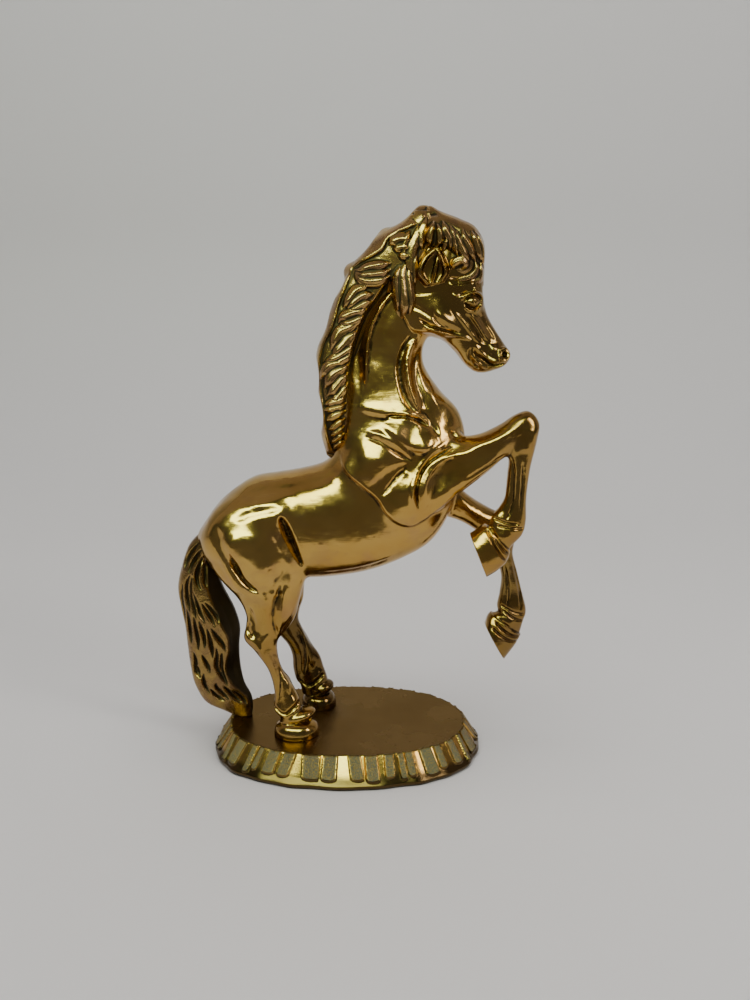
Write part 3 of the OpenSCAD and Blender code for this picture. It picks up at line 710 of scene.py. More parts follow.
def draw_neck_and_shoulder(r):
    # A sharp tendon down the neck between two hollows, and the throat's ridge beside its groove.
    r.ridge([(24.5, 239), (16.6, 229.6), (11.7, 219), (10, 207.5), (9.5, 192)], 1.9, 0.9)
    r.groove([(19, 237.6), (11.6, 227), (7.2, 214), (6.2, 200), (6.4, 188)], 0.9, 1.9)
    r.groove([(24, 232), (18.6, 222), (15.6, 211), (14.4, 200)], 0.5, 2.4)
    r.groove([(31, 217), (27, 209), (25.6, 202), (26.6, 193), (29.4, 185.4), (32.8, 180.8)], 1.5, 1.3)
    r.ridge([(34.4, 217), (30.7, 210), (29.2, 203), (30.2, 194), (33, 185.6), (36, 179.6)], 1.9, 1.3, 0.3)
    r.groove([(37.4, 215), (34.4, 208), (33, 202), (34, 194), (37, 186), (39.6, 180)], 1.0, 1.7)
    r.ridge([(43.4, 207), (41, 198), (42, 188), (45.4, 179)], 0.5, 1.8)
    r.groove([(36.4, 181.4), (40.4, 175), (44.6, 169)], 0.8, 1.2)
    # The neck swells out above a sharp fold, over a lens of muscle.
    r.fold([(5, 181.4), (12, 179.8), (19, 178.7), (27, 178.4), (35, 176.4)], 2.2, 9, 2.0, 0.35)
    r.fold([(17, 175), (21, 170.6), (26, 166.2), (32, 163), (38, 162.6), (45, 166.4)], 2.6, 11, 2.4, 0.3)
    r.groove([(18.4, 178.6), (24, 178.8), (29.6, 178.3), (35, 176.3), (40.4, 173)], 1.5, 0.8)
    r.ridge([(27, 180.6), (32.6, 179.8), (37.6, 177.4), (41.6, 173.6)], 0.6, 0.8)
    # The rough seam and the wedge of muscle under it.
    r.ridge([(10, 171.6), (16.5, 170.2), (22, 167.2), (28, 162.6), (32, 158.6)], 0.9, 1.5)
    r.groove([(9, 168.8), (15.5, 167), (21, 163.8), (27, 159.8), (32, 157.4)], 0.9, 0.8)
    r.pillow([(7, 168.6), (15.5, 166.6), (21, 163.4), (27, 159.4), (32.4, 157.4), (24, 154.6), (16.5, 151),
              (10, 145.6), (4.4, 151), (3.6, 161)], 2.0, 6.4)
    r.fold([(10.5, 145), (16.5, 151), (24, 155), (32, 157.4)], 0.8, 6, 1.6)
    # The hollow in front of the elbow, with a rough seam above it and a soft ridge before it.
    r.groove([(29.5, 154.5), (23, 148), (17.5, 141)], 0.9, 1.0)
    r.groove([(28.6, 152), (25.4, 144), (24, 136)], 0.6, 3.4)
    r.ridge([(31, 150), (31.6, 142), (31, 135), (30.4, 129)], 0.5, 2.6)
    # The shoulder's edge, from the withers round the elbow, stands proud of the ribs.
    r.fold([(-3.6, 161), (-0.5, 152.5), (7, 146), (15, 139.2), (19.5, 132), (25.6, 126.4), (32, 125),
            (38.4, 128), (46, 133.8), (53, 140)], 1.4, 7, 0.6, 0.12)
    # A band curls round the back of the forearm.
    r.groove([(52, 164), (44, 159.5), (39, 155.5), (35.5, 150), (34, 143), (34.5, 137), (35.5, 132.5)],
             1.7, 0.8)
    r.ridge([(49.4, 167), (41.4, 161.8), (36.4, 155.8), (33, 149), (31.5, 142), (32, 134)], 0.8, 1.2)
    r.ridge([(53, 161.2), (45.6, 157), (41, 152.4), (38.2, 147), (37.2, 140)], 0.6, 0.9)
    r.groove([(50, 170.4), (53.4, 168), (57.6, 168.8)], 1.4, 1.3)
    # The forearm: a rounded top, a flat side and a fold along its underside.
    r.ridge([(45, 158.5), (57, 161.6), (64, 165.6), (73, 169.4), (84, 175.6)], 0.7, 2.0)
    r.groove([(40, 148), (50, 152), (60, 157.4), (72, 164.2)], 0.4, 3.4)
    r.ridge([(37, 134.4), (51, 145), (64, 153), (75, 159.4)], 0.5, 2.2)
    r.groove([(56.4, 148.6), (66, 154.8), (76.4, 161.4)], 0.8, 0.8)


# The left hind leg stands further forward than the right one from this height down.
GASKIN_TOP, GASKIN_LENGTH = 94, 40


def draw_belly_and_haunch(r):
    # The belly's flat underside.
    r.fold([(26, 109.6), (11.5, 104.8), (-3.5, 101.9), (-18, 100.9)][::-1], 0.7, 9, 0.8, 0.3)
    # The haunch bulges most along a line down to the stifle, under the hip's own small bulge.
    r.ridge([(-60, 120.5), (-53, 115.5), (-46.5, 110.8), (-39.8, 105.6), (-33.2, 100)], 2.6, 9.0, 0.3)
    r.ridge([(-51, 117.6), (-45, 121.4), (-38, 123), (-32, 120)], 0.5, 4.4)
    r.groove([(-54, 128.5), (-47, 131.6), (-39, 133.4), (-31, 134.4)], 0.7, 2.0)
    r.ridge([(-46, 135.4), (-40, 137.4), (-33, 139.2), (-24, 140.2)], 0.5, 2.0)
    r.groove([(-57, 133), (-51, 138.4), (-40, 142), (-26.5, 143.4), (-12.5, 147), (-2, 153)], 0.6, 2.4)
    # Fold of the flank.
    r.pillow([(-32.4, 131.2), (-29.8, 130.6), (-26.6, 124.9), (-23.8, 117.6), (-21.2, 108), (-21, 103.6),
              (-24.3, 106.4), (-28, 113.4), (-31.3, 121), (-33.2, 128.2)], -4.2, 1.9)
    r.ridge([(-35.6, 127.4), (-33.6, 120), (-30.6, 112.6), (-27, 105.4), (-24, 99)], 0.7, 1.4)
    # Back of the thigh: a wide valley that sharpens into a crease.
    r.groove([(-63.4, 126.2), (-62.1, 120.8), (-59.9, 114.8), (-55, 107.5), (-50, 101)], 1.2, 2.8, 0.3)
    r.groove([(-56.4, 113), (-55.4, 108.6), (-52.8, 103), (-48.4, 96.8), (-42.6, 92.4)], 2.1, 1.3)
    r.ridge([(-62.6, 114), (-60, 107.6), (-57, 101.4), (-52.6, 94.6), (-48.4, 89.6)], 0.7, 1.9)
    # Valley and ridge above the stifle.
    r.groove([(-37.4, 106), (-35, 99), (-33.8, 91)], 0.9, 2.8)
    r.ridge([(-32.6, 113), (-29.8, 107), (-28, 100.4), (-27.4, 93.6), (-28.6, 86)], 0.7, 2.1)


def draw_gaskin(r, dx):
    """Thigh to hock of a hind leg. Down to the hock the strokes move dx from the right leg's place."""
    def at(points):
        return [(x + dx * min(max((GASKIN_TOP - z) / GASKIN_LENGTH, 0), 1), z) for x, z in points]
    r.groove(at([(-32.4, 97), (-33.6, 91), (-35.8, 86), (-36.6, 78.3), (-35.6, 70.6), (-33.8, 66.6)]),
             1.4, 1.6)
    r.ridge(at([(-29.6, 96), (-31, 89), (-31.8, 82.1), (-33, 74.5), (-33, 68.8)]), 0.9, 1.2)
    r.groove(at([(-21.8, 90), (-25.2, 81), (-30.8, 73.2), (-33.6, 68.4)]), 0.8, 1.0)
    r.ridge(at([(-40.4, 93), (-39.8, 86), (-40.6, 78), (-41.2, 70)]), 0.7, 1.8)
    r.groove(at([(-48.6, 85), (-46.6, 79), (-45.6, 73.6), (-46.4, 68)]), 1.1, 1.5)
    r.groove(at([(-48.3, 76.4), (-48.9, 71.6), (-46.9, 68.6)]), 1.1, 1.3)
    r.ridge(at([(-50.3, 68), (-46.4, 66.4), (-43, 62), (-40.6, 57.6)]), 0.7, 1.3)
    r.ridge(at([(-44.4, 60), (-41.6, 66), (-38.8, 71)]), 0.5, 1.4)


def draw_hind_cannon(r, dx):
    """Hock to fetlock of a hind leg, dx from the right leg's place."""
    def at(points):
        return [(x + dx, z) for x, z in points]
    r.groove(at([(-38, 61), (-35, 54.6), (-33.6, 46.6), (-33.8, 40), (-34.6, 35)]), 1.0, 0.9)
    r.ridge(at([(-35.4, 60), (-32, 52), (-29.8, 45), (-29, 38)]), 0.8, 1.1)
    r.fold(at([(-37.4, 32.4), (-32.1, 29), (-27.4, 32.4), (-24, 36)]), 0.9, 4, 0.5)
    r.groove(at([(-37.4, 31.6), (-32.1, 27.9), (-26.8, 31), (-23.4, 34.4)]), 1.2, 0.7, 0.1)


def draw_foreleg(r, cannon, knee, fetlock, ball, coronet):
    """Creases of a raised foreleg."""
    for line in cannon:
        r.groove(line, 0.9, 0.7)
    for line in knee:
        r.ridge(line, 0.3, 1.4)
    for line in fetlock:
        r.groove(line, 1.0, 0.6, 0.12)
    r.pillow(ball, 1.0, 2.0)
    for line in coronet:
        r.groove(line, 1.2, 0.6, 0.1)


def side_relief():
    """All strokes on the trunk, neck and head."""
    r = Relief((-80, 88), (84, 280))
    draw_face(r)
    draw_neck_and_shoulder(r)
    draw_belly_and_haunch(r)
    draw_gaskin(r, 0.0)
    return r


def leg_relief(low, high):
    """The shoulder's and haunch's strokes again, where a leg carries them on."""
    r = Relief(low, high)
    draw_neck_and_shoulder(r)
    draw_belly_and_haunch(r)
    return r


def foreleg_right_relief():
    r = leg_relief((30, 90), (100, 186))
    draw_foreleg(
        r,
        [[(78.6, 161.5), (80.2, 155.5), (80.9, 147.5), (80.6, 137.6), (78.4, 130.8), (75.6, 126.4)],
         [(84.4, 158), (84.8, 149), (84.4, 140), (84, 132)]],
        [[(80, 170), (85.4, 172.6), (89.8, 170), (89.4, 163)], [(79.6, 161), (83.6, 164), (88, 163.4)]],
        [[(72.9, 125.8), (79.1, 125), (86.6, 124)], [(71.6, 129.4), (77, 127.4), (83.6, 126.4)]],
        [(71.2, 122.2), (74, 117), (79, 117.4), (80, 121.6), (75.8, 124.6)],
        [[(68.2, 124.6), (70.4, 119.4), (74.2, 113), (77.2, 108.6), (80.4, 107)],
         [(70.2, 125), (72.6, 120), (76.6, 114), (80, 110.6)]])
    return r


def foreleg_left_relief():
    r = leg_relief((30, 38), (100, 155))
    draw_foreleg(
        r,
        [[(81.2, 97.8), (83.2, 88.9), (84.2, 80.9), (83, 71.8)],
         [(85.6, 99.2), (87.8, 90.9), (90, 80.9), (90.6, 71.8)]],
        [[(76, 106), (80, 110), (85, 109), (85.6, 103)], [(50, 134), (60, 128), (70, 122), (80, 116)]],
        [[(80.6, 72.4), (86.9, 67.9), (92.6, 65.4)], [(80, 74.6), (87, 71), (93, 69.4)]],
        [(78.4, 68.4), (82, 70.6), (87.6, 66.6), (86.4, 61), (81.4, 62)],
        [[(75.4, 63.4), (79.5, 59.6), (84.4, 56.3), (90, 54)],
         [(77, 66.4), (81, 62.2), (86, 58.8), (91.4, 56.8)]])
    return r


def hind_leg_relief(dx, cannon_dx):
    """A hind leg's strokes, moved from the right leg's place above and below the hock."""
    r = leg_relief((-80, 10), (0, 110))
    draw_gaskin(r, dx)
    draw_hind_cannon(r, cannon_dx)
    return r


# ---------------------------------------------------------------- hair

# The inner border of the mane's smooth outer band, from the poll to the withers.
MANE_BAND = [(33.5, 267.5), (29.5, 265.5), (24.5, 263.5), (20, 260.5), (17.5, 256), (13, 253), (7, 250),
             (3, 247), (2, 243), (-0.5, 237), (-3, 230.5), (-5, 223.5), (-7, 218.5), (-10, 213), (-12, 206),
             (-12.3, 197.5), (-11.6, 188), (-10.6, 181.5), (-9.6, 173), (-7.8, 163.5), (-6.6, 159.5)]
# What belongs to the mane in side view. Beyond the crest the outline only has to be wide enough.
MANE_OUTLINE = [(-3.4, 156), (-1.2, 163), (1.2, 176.5), (0.8, 187), (0.4, 197.6), (1.8, 207), (4.9, 217.4),
                (8.6, 226.6), (12.6, 232.2), (17.4, 239.4), (21, 243.8), (22.4, 240), (22.6, 231),
                (24.4, 226), (26.4, 222.6), (28, 227.6), (30, 223.6), (32.6, 230), (33.4, 239), (33.4, 246),
                (36.4, 252), (41, 257), (48, 268), (44, 284), (10, 284), (-30, 240), (-30, 150)]
# How high a lock stands over the hollows between locks.
LOCK_HEIGHT = 2.4
# Locks of the mane: middle line from root to tip, and half-width before it is widened to meet its
# neighbours.
MANE_WIDENING = 1.65
MANE_LOCKS = [
    ([(31, 259.5), (27, 260.5), (23.5, 260), (20, 258)], 2.0),
    ([(30.5, 256), (27, 256.8), (24, 256.4), (22, 256.5)], 1.5),
    ([(31, 253.2), (28, 253), (24.5, 253.4)], 1.3),
    ([(21.5, 250), (17.5, 249), (11.5, 248), (7.5, 246.8), (4.5, 246.6)], 1.5),
    ([(21.5, 247), (17, 245), (11.5, 244.4), (7.5, 244.4), (4.5, 246)], 1.5),
    ([(21, 244), (16.5, 241.8), (10.5, 241.4), (6.5, 242.8), (4.5, 245.4)], 1.7),
    ([(11.5, 239.4), (8.5, 238.6), (5, 237), (1.5, 232.5), (-1, 229)], 1.6),
    ([(13.5, 236), (8.5, 234.8), (4.5, 232), (0.5, 228.5)], 1.6),
    ([(13, 232.5), (9.5, 231.4), (5, 229), (1, 228)], 1.3),
    ([(10.5, 229.4), (7.5, 227.8), (3, 226.7), (-1.5, 224.8), (-3.5, 222)], 1.6),
    ([(10, 226.5), (6.5, 224), (2, 222.2), (-3, 222)], 1.5),
    ([(7.5, 222), (4.5, 221.4), (1, 219.8), (-3, 217.5), (-7, 209.5)], 1.8),
    ([(6.5, 219), (2.5, 215.8), (-1.5, 211.5), (-6.5, 206.5)], 1.9),
    ([(4, 213), (1, 209.4), (-4, 206.2), (-10, 204.5)], 1.6),
    ([(3.4, 208.6), (0, 205.6), (-5, 203.8)], 1.2),
    ([(2, 206), (-2.5, 204), (-7.5, 202.6), (-11, 198.5), (-12, 195)], 1.5),
    ([(2, 203), (-2, 200.6), (-6.5, 197.5), (-10, 191.5)], 1.7),
    ([(2, 199.4), (-1.5, 196), (-5, 191.5), (-9, 188)], 1.6),
    ([(1.5, 195), (-0.5, 191.5), (-4, 187.2), (-8.5, 185.5)], 1.4),
    ([(0.5, 188.5), (-3, 186), (-7, 185), (-10.5, 183.6)], 1.2),
    ([(0.5, 185), (-2.5, 183), (-6.5, 182), (-11, 181)], 1.1),
    ([(0.5, 181), (-3, 180), (-6.5, 178), (-10, 175.5)], 1.2),
    ([(0, 177.5), (-3, 175.5), (-6, 173), (-9, 171.5)], 1.1),
    ([(-0.5, 174), (-3, 171.5), (-5.5, 169.8), (-8, 168)], 1.0),
    ([(-0.5, 170), (-3.5, 168), (-5.5, 166.2), (-7.5, 164)], 1.0),
    ([(-1, 166.4), (-3.5, 164.6), (-5.5, 162.5), (-6.5, 161)], 0.9),
]
# The wide hollows between the lumps of the crest: where the middle of a round cutter stands.
CREST_CUTTER = (20, 60, 20)
CREST_HOLLOWS = [(15.3, 285.3), (-5.3, 269.1), (-19.5, 248.2), (-28.4, 226.2), (-33, 196.5), (-30.8, 178)]
# Two corners of the crest, where the tips of its tufts stand up.
CREST_TIP = (4.8, 7.0, 4.8)
CREST_CORNERS = [(20.1, 261.2), (3.8, 245.3)]
# The locks before and beside the ear.
POLL_LOCKS = [
    ([(32, 241), (30.5, 249), (31, 255.5), (33, 261), (34, 268)], 1.6),
    ([(36, 255.5), (35.3, 261), (36.5, 265.5), (37.8, 270.4)], 1.4),
    ([(28.6, 250.6), (27.4, 254), (28, 260), (30.4, 265)], 1.2),
    ([(31.4, 250), (29.8, 245), (30.6, 238), (31.2, 231), (30, 224.6)], 1.5),
    ([(28.6, 250.6), (27, 245), (27.2, 238), (27.8, 230), (26.6, 223.4)], 1.7),
    ([(26, 249), (24.2, 244), (24, 237), (24.6, 227.6)], 1.3),
    ([(33.6, 254), (32.4, 249), (32.6, 244), (33, 239)], 1.1),
]


def mane_relief():
    r = Relief((-20, 148), (50, 284), 0.2, -1.0)
    # The smooth outer band stands as high as the locks and ends in a step.
    r.fold(MANE_BAND[::-1], 2.0, 60, 0.7, 0.02)
    r.bevel(MANE_BAND, 0.5, 4)
    for line, width in MANE_LOCKS + POLL_LOCKS:
        r.lock(line, LOCK_HEIGHT, width * MANE_WIDENING)
    r.trim(MANE_OUTLINE, 7.0, 1.6)
    return r


FORELOCK_WIDENING = 1.45
FORELOCK_LOCKS = [
    ([(39.5, 256.5), (39, 261), (39.7, 264.5), (41.5, 269)], 1.3),
    ([(42.5, 256.5), (44.2, 260), (44, 263.5), (42.5, 267.6)], 1.3),
    ([(48, 254), (48.8, 260), (46.7, 264.5), (45.2, 269)], 1.5),
    ([(44.6, 253.6), (46.4, 257), (47, 261)], 1.0),
    ([(52.5, 252.5), (50.6, 258.4), (50, 262.5), (48.6, 267)], 1.4),
    ([(58, 250), (54.8, 255.5), (52.6, 260), (51.2, 265)], 1.5),
    ([(61, 250), (58, 256.8), (55.2, 261), (54.4, 265.4)], 1.4),
    ([(49, 243), (52.5, 241.7), (58.5, 242.8), (61.6, 246), (60.6, 251)], 1.4),
    ([(49, 245.5), (50.8, 249.6), (54, 251), (56, 248.8), (53.6, 246.8)], 1.5),
    ([(51.6, 238.6), (56, 239), (61.5, 240.8), (64, 244), (63.6, 251)], 1.3),
    ([(63.8, 250), (61.7, 258), (58.5, 264.5)], 1.4),
    ([(65, 247), (64.8, 254), (62.8, 260), (60, 265)], 1.2),
]
FORELOCK_OUTLINE = [(34, 282), (35, 266), (38, 257), (44.8, 253.6), (47.6, 251.6), (48.6, 247),
                    (49.4, 242.4), (53.6, 240.6), (58, 241.6), (60.6, 238.6), (62.4, 242), (64, 236.4),
                    (72, 236), (72, 282)]


def forelock_relief():
    r = Relief((34, 230), (74, 284), 0.2, -1.0)
    for line, width in FORELOCK_LOCKS:
        r.lock(line, LOCK_HEIGHT, width * FORELOCK_WIDENING)
    r.trim(FORELOCK_OUTLINE, 6.0, 1.4)
    return r


# Grooves between the strands of the tail's near side, from root to tip.
TAIL_GROOVES = [
    [(-74, 113.5), (-77, 109.5), (-80.5, 104), (-82, 99)],
    [(-73, 110), (-76, 105.5), (-78.5, 101.5), (-80, 97.5)],
    [(-72.5, 106), (-74.5, 101.5), (-76, 96.5), (-75.5, 92), (-73.5, 88.5)],
    [(-71, 105), (-72, 99.5), (-72, 94), (-71, 89)],
    [(-79, 97), (-81, 92.5), (-81.5, 87), (-81, 82), (-80, 76.5)],
    [(-78, 96.5), (-79, 92), (-79.5, 86), (-78, 78.5), (-77, 72.5)],
    [(-78.5, 88.5), (-77, 82.5), (-75, 76.5), (-72.5, 71)],
    [(-74, 82), (-72, 78), (-69, 72.5), (-67.5, 69)],
    [(-72.5, 82.5), (-69.5, 78.5), (-67, 74.5), (-65.5, 70.5)],
    [(-76, 72.5), (-74.5, 66.5), (-73.5, 62), (-73.5, 57)],
    [(-72, 68.5), (-71, 63), (-70, 56.5), (-69.5, 51)],
    [(-70, 68.5), (-67.5, 64), (-64.4, 59), (-63, 55)],
    [(-67.5, 57.5), (-67.5, 52.5), (-68, 46), (-66, 40.5), (-63, 35)],
    [(-75.5, 53.5), (-74, 49.5), (-72.5, 46), (-71.5, 42.5)],
    [(-64.9, 54.5), (-65.4, 49.5), (-65.8, 45), (-64.6, 40), (-62.6, 35)],
    [(-80, 54.5), (-79, 49), (-79.5, 43.5), (-78.5, 39.5)],
    [(-78, 46), (-78, 42), (-77, 38.5)],
    [(-75, 42.5), (-75.5, 38), (-74.5, 33.5), (-72, 29.5)],
    [(-69, 37), (-68.5, 33.5), (-65.5, 29.5), (-62.5, 26)],
    [(-65, 35), (-62.5, 31), (-59.5, 27), (-56, 24)],
    [(-60.5, 31.8), (-58, 28.8), (-55.6, 25.6), (-53.6, 22.6)],
    [(-72.5, 33.5), (-70, 29.5), (-67, 27), (-64.5, 25.5)],
    [(-82, 79), (-81.5, 72.5), (-81, 66), (-80.5, 58.5)],
    [(-78.5, 75), (-78, 68.5), (-77, 62), (-77, 55.5)],
    [(-83.4, 92), (-84.6, 84), (-84, 76), (-83.4, 68)],
]
# The front border of the tail's combed side.
TAIL_EDGE = [(-72, 105), (-71.5, 96), (-71, 88.5), (-68, 78), (-65, 69.5), (-62, 62.5), (-61.5, 55),
             (-63.5, 48), (-64, 41.5), (-60.5, 34.5), (-54.5, 27.5), (-52.5, 22)]


def tail_relief():
    r = Relief((-92, 10), (-46, 126), 0.2)
    for line in TAIL_GROOVES:
        r.groove(line, 2.2, 0.95, 0.45)
    # The side that faces the legs is smooth and turned away.
    r.bevel(TAIL_EDGE[::-1], 0.75, 6)
    return r


# ---------------------------------------------------------------- making the castings

def neck_side(points):
    """Distance past the neck's joint, positive on the head's side."""
    (ax, az), (bx, bz) = NECK_JOINT
    length = math.hypot(bx - ax, bz - az)
    normal = np.array([-(bz - az) / length, 0, (bx - ax) / length])
    return (points - np.array([ax, 0, az])) @ normal, normal


def leg_root(points, trunk):
    """Positive where the surface has left the trunk for a foreleg."""
    return np.minimum(trunk.at(points) - 0.4, points[:, 0] - 32)


def carve(low, high, step, relief, with_legs=True):
    """A block of the horse with its relief, and the same block without the legs."""
    block = Block(low, high, step)
    sculpt_body(block)
    trunk = Block(low, high, step)
    trunk.d = block.d.copy()
    if with_legs:
        sculpt_legs(block)
    block.emboss(relief)
    trunk.emboss(relief)
    return block, trunk


# How much painted shade darkens the metal towards the muzzle, towards each hoof and all over the hair,
# standing for the dimmer reflections there. The far legs, which mirror dark things, get the most.
HEAD_PAINTED_SHADE = 0.5
LEG_PAINTED_SHADE = {"foreleg_right": 0.35, "foreleg_left": 0.6, "hind_leg_right": 0.35, "hind_leg_left": 0.85}
TAIL_PAINTED_SHADE, FORELOCK_PAINTED_SHADE = 0.35, 0.15


def span(values, low, high):
    """0 at low and below, 1 at high and above."""
    return np.clip((values - low) / (high - low), 0, 1)


def finished(surface):
    """Evens out a new surface and marks its hollows."""
    surface.relax(2)
    surface.find_recesses()
    return surface


def make_body(material):
    """The trunk and neck, cut from the head, the legs and each other's half."""
    block, trunk = carve((-80, -31, 84), (68, 31, 250), BODY_STEP, side_relief())
    whole = finished(block.mesh())
    whole = whole.cut(THIGH_JOINT - whole.points[:, 2], (0, 0, -1))
    past, normal = neck_side(whole.points)
    whole = whole.cut(past, normal)
    whole = whole.cut(leg_root(whole.points, trunk), (1, 0, 0))
    for name, side in (("body_right_half", -1), ("body_left_half", 1)):
        half = whole.cut(-side * whole.points[:, 1], (0, -side, 0))
        half.largest_part().build(name, material, "polished_brass", name)


def make_head(material):
    """The head from the neck's joint, with its ears."""
    block, _ = carve((8, -18, 190), (86, 18, 276), FINE_STEP, side_relief(), False)
    for side in (-1, 1):
        ear = Block((28, -18, 234), (54, 18, 262), FINE_STEP)
        leaf = loft([[a, b, c, d, side * EAR_PLACE, w] for a, b, c, d, w in EAR])
        hollow = loft([[a + 2.4, b, c - 2.0, d, side * (EAR_PLACE + 2 + 0.3 * i), w * 0.95]
                       for i, (a, b, c, d, w) in enumerate(EAR)])
        ear.add(leaf)
        ear.cut(hollow, 0.6)
        ear.ball((42, side * 13.2, 247), (1.0, 1.2, 6.5), 1.0, -12)
        block.merge(ear, 1.6)
    head = finished(block.mesh())
    past, normal = neck_side(head.points)
    head = head.cut(-past, -normal)
    head.largest_part()
    past, _ = neck_side(head.points)
    # Painted shade grows from the neck's joint towards the muzzle.
    head.build("head", material, "polished_brass", "head", HEAD_PAINTED_SHADE * span(past, 0, 16))


def make_foreleg(name, low, high, relief, side, material):
    """A foreleg from where it leaves the trunk. side is -1 for the right and 1 for the left."""
    block, trunk = carve(low, high, LEG_STEP, relief)
    leg = finished(block.mesh())
    leg = leg.cut(-leg_root(leg.points, trunk), (-1, 0, 0))
    leg = leg.cut(-side * leg.points[:, 1], (0, -side, 0)).largest_part()
    # Painted shade grows towards the hoof.
    painted_shade = LEG_PAINTED_SHADE[name] * span(leg.points[:, 0], 58, 80)
    leg.build(name, material, "polished_brass", name, painted_shade)


def make_hind_leg(name, low, high, relief, side, material):
    """A hind leg below the thigh's joint. side is -1 for the right and 1 for the left."""
    block, _ = carve(low, high, LEG_STEP, relief)
    leg = finished(block.mesh())
    leg = leg.cut(leg.points[:, 2] - THIGH_JOINT, (0, 0, 1))
    leg = leg.cut(-side * leg.points[:, 1], (0, -side, 0)).largest_part()
    # Painted shade grows down from the thigh's joint.
    painted_shade = LEG_PAINTED_SHADE[name] * span(THIGH_JOINT - leg.points[:, 2], 0, 30)
    leg.build(name, material, "polished_brass", name, painted_shade)


def make_hair(name, block, relief, material, soften=0.8, dark_edge=None, painted_shade=0.0):
    """Finishes a piece of hair. Everything in front of dark_edge, a line of x and z, is darkened like the
    hollows.
    """
    block.soften(soften)
    block.emboss(relief)
    hair = finished(block.mesh())
    if dark_edge:
        x, z = np.array(sorted(dark_edge, key=lambda p: p[1])).T
        beyond = np.clip((hair.points[:, 0] - np.interp(hair.points[:, 2], z, x)) / 1.2, 0, 1)
        hair.recess = np.maximum(hair.recess, 0.5 + 0.2 * beyond)
    # The whole piece is darkened by its painted shade.
    hair.build(name, material, "patinated_brass", name, painted_shade)


def make_mane(material):
    block = Block((-18, -18, 148), (50, 18, 282), FINE_STEP)
    block.add(loft(MANE, 3.0))
    for x, z in CREST_HOLLOWS:
        block.ball((x, 0, z), CREST_CUTTER, 1.5, cut=True)
    for x, z in CREST_CORNERS:
        block.ball((x, 0, z), CREST_TIP, 1.5)
    # The locks before the ear hang down over the back of the cheek.
    for side in (-1, 1):
        block.ball((28, 9.6 * side, 234), (6, 5.2, 12), 2.0)
    make_hair("mane", block, mane_relief(), material)


def make_forelock(material):
    block = Block((34, -15, 228), (72, 15, 282), FINE_STEP)
    block.add(loft(FORELOCK, 2.6))
    # It reaches back to the mane's front end and hides the top of the head.
    block.ball((39, 0, 268.2), (4.8, 7.6, 7.4), 2.0)
    for side in (-1, 1):
        block.ball((43.5, 6 * side, 262), (7.2, 7.2, 8.6), 2.5)
        block.ball((40, 7 * side, 262), (5.6, 6.6, 8.6), 2.0)
        block.ball((54, 6.4 * side, 250.5), (8.5, 6.6, 10), 2.5)
    make_hair("forelock", block, forelock_relief(), material, 0.6, painted_shade=FORELOCK_PAINTED_SHADE)


def make_tail(material):
    block = Block((-92, -12, 12), (-46, 16, 126), FINE_STEP)
    block.add(loft(TAIL, 2.4))
    make_hair("tail", block, tail_relief(), material, 0.6, TAIL_EDGE, TAIL_PAINTED_SHADE)


# ---------------------------------------------------------------- the base

class Mesh:
    """Rings of points joined by bands of quads and closed by flat plates."""

    def __init__(self):
        self.points, self.tris, self.recess, self.flat = [], [], [], []
        self.count = 0

    def ring(self, x, y, z, recess=0.0):
        x, y, z, recess = np.broadcast_arrays(x, y, z, recess)
        self.points.append(np.stack([x, y, z], axis=1).astype(float))
        self.recess.append(recess.astype(float))
        first = self.count
        self.count += len(x)
        return np.arange(first, self.count)

    def band(self, a, b, flat=False):
        """Joins two rings, facing outwards when b is below or outside a."""
        a2, b2 = np.roll(a, -1), np.roll(b, -1)
        self.tris += [np.stack([a, b, b2], axis=1), np.stack([a, b2, a2], axis=1)]
        self.flat += [np.full(2 * len(a), flat)]

    def plate(self, rings, up):
        """A flat plate inside the first ring, with the others as holes."""
        points = np.vstack(self.points)
        out = fill_loops(points[:, :2], rings)
        a, b, c = (points[out[:, i]] for i in range(3))
        wrong = (np.cross(b - a, c - a)[:, 2] > 0) != up
        out[wrong] = out[wrong][:, ::-1]
        self.tris.append(out)
        self.flat.append(np.full(len(out), True))

    def surface(self):
        out = Surface(np.vstack(self.points), np.vstack(self.tris))
        out.cap = np.concatenate(self.flat)
        out.recess = np.concatenate(self.recess)
        return out


def waves(rng, t, counts, size):
    """A smooth random closed wave."""
    return size * sum(np.cos(n * t + rng.uniform(0, 2 * np.pi)) / len(counts)**0.5 for n in counts)


def superellipse(half_length, half_width, t, fullness=2.25):
    c, s = np.cos(t), np.sin(t)
    x = half_length * np.sign(c) * np.abs(c) ** (2 / fullness)
    y = half_width * np.sign(s) * np.abs(s) ** (2 / fullness)
    return x, y


# The rim's slope from its crown to its foot: part of the way down, inset from the foot, and height.
SLOPE = [0, 0.08, 0.8, 0.93, 1.0]
SLOPE_INSET = [8.9, 8.3, 2.3, 0.6, 0.0]
SLOPE_HEIGHT = [15, 14.5, 5.0, 3.0, 2.2]
FOOT_HALF_LENGTH, FOOT_HALF_WIDTH = 69.5, 49
HOLLOW_HALF_LENGTH, HOLLOW_HALF_WIDTH, HOLLOW_SLOPE = 63.5, 43, 6
PETALS = 40
BOSS_RADIUS, BOSS_FOOT, ROOF = 5.5, 8.0, 12.0
SCREW_HOLE = 2.3


def even_turn(around):
    """Angles spread evenly along the rim's outline, and their parts of the whole way round."""
    dense = np.linspace(0, 2 * np.pi, 20001)
    x, y = superellipse(65, 45, dense)
    run = np.concatenate([[0], np.cumsum(np.hypot(np.diff(x), np.diff(y)))])
    u = np.linspace(0, 1, around, endpoint=False)
    return np.interp(u * run[-1], run, dense), u


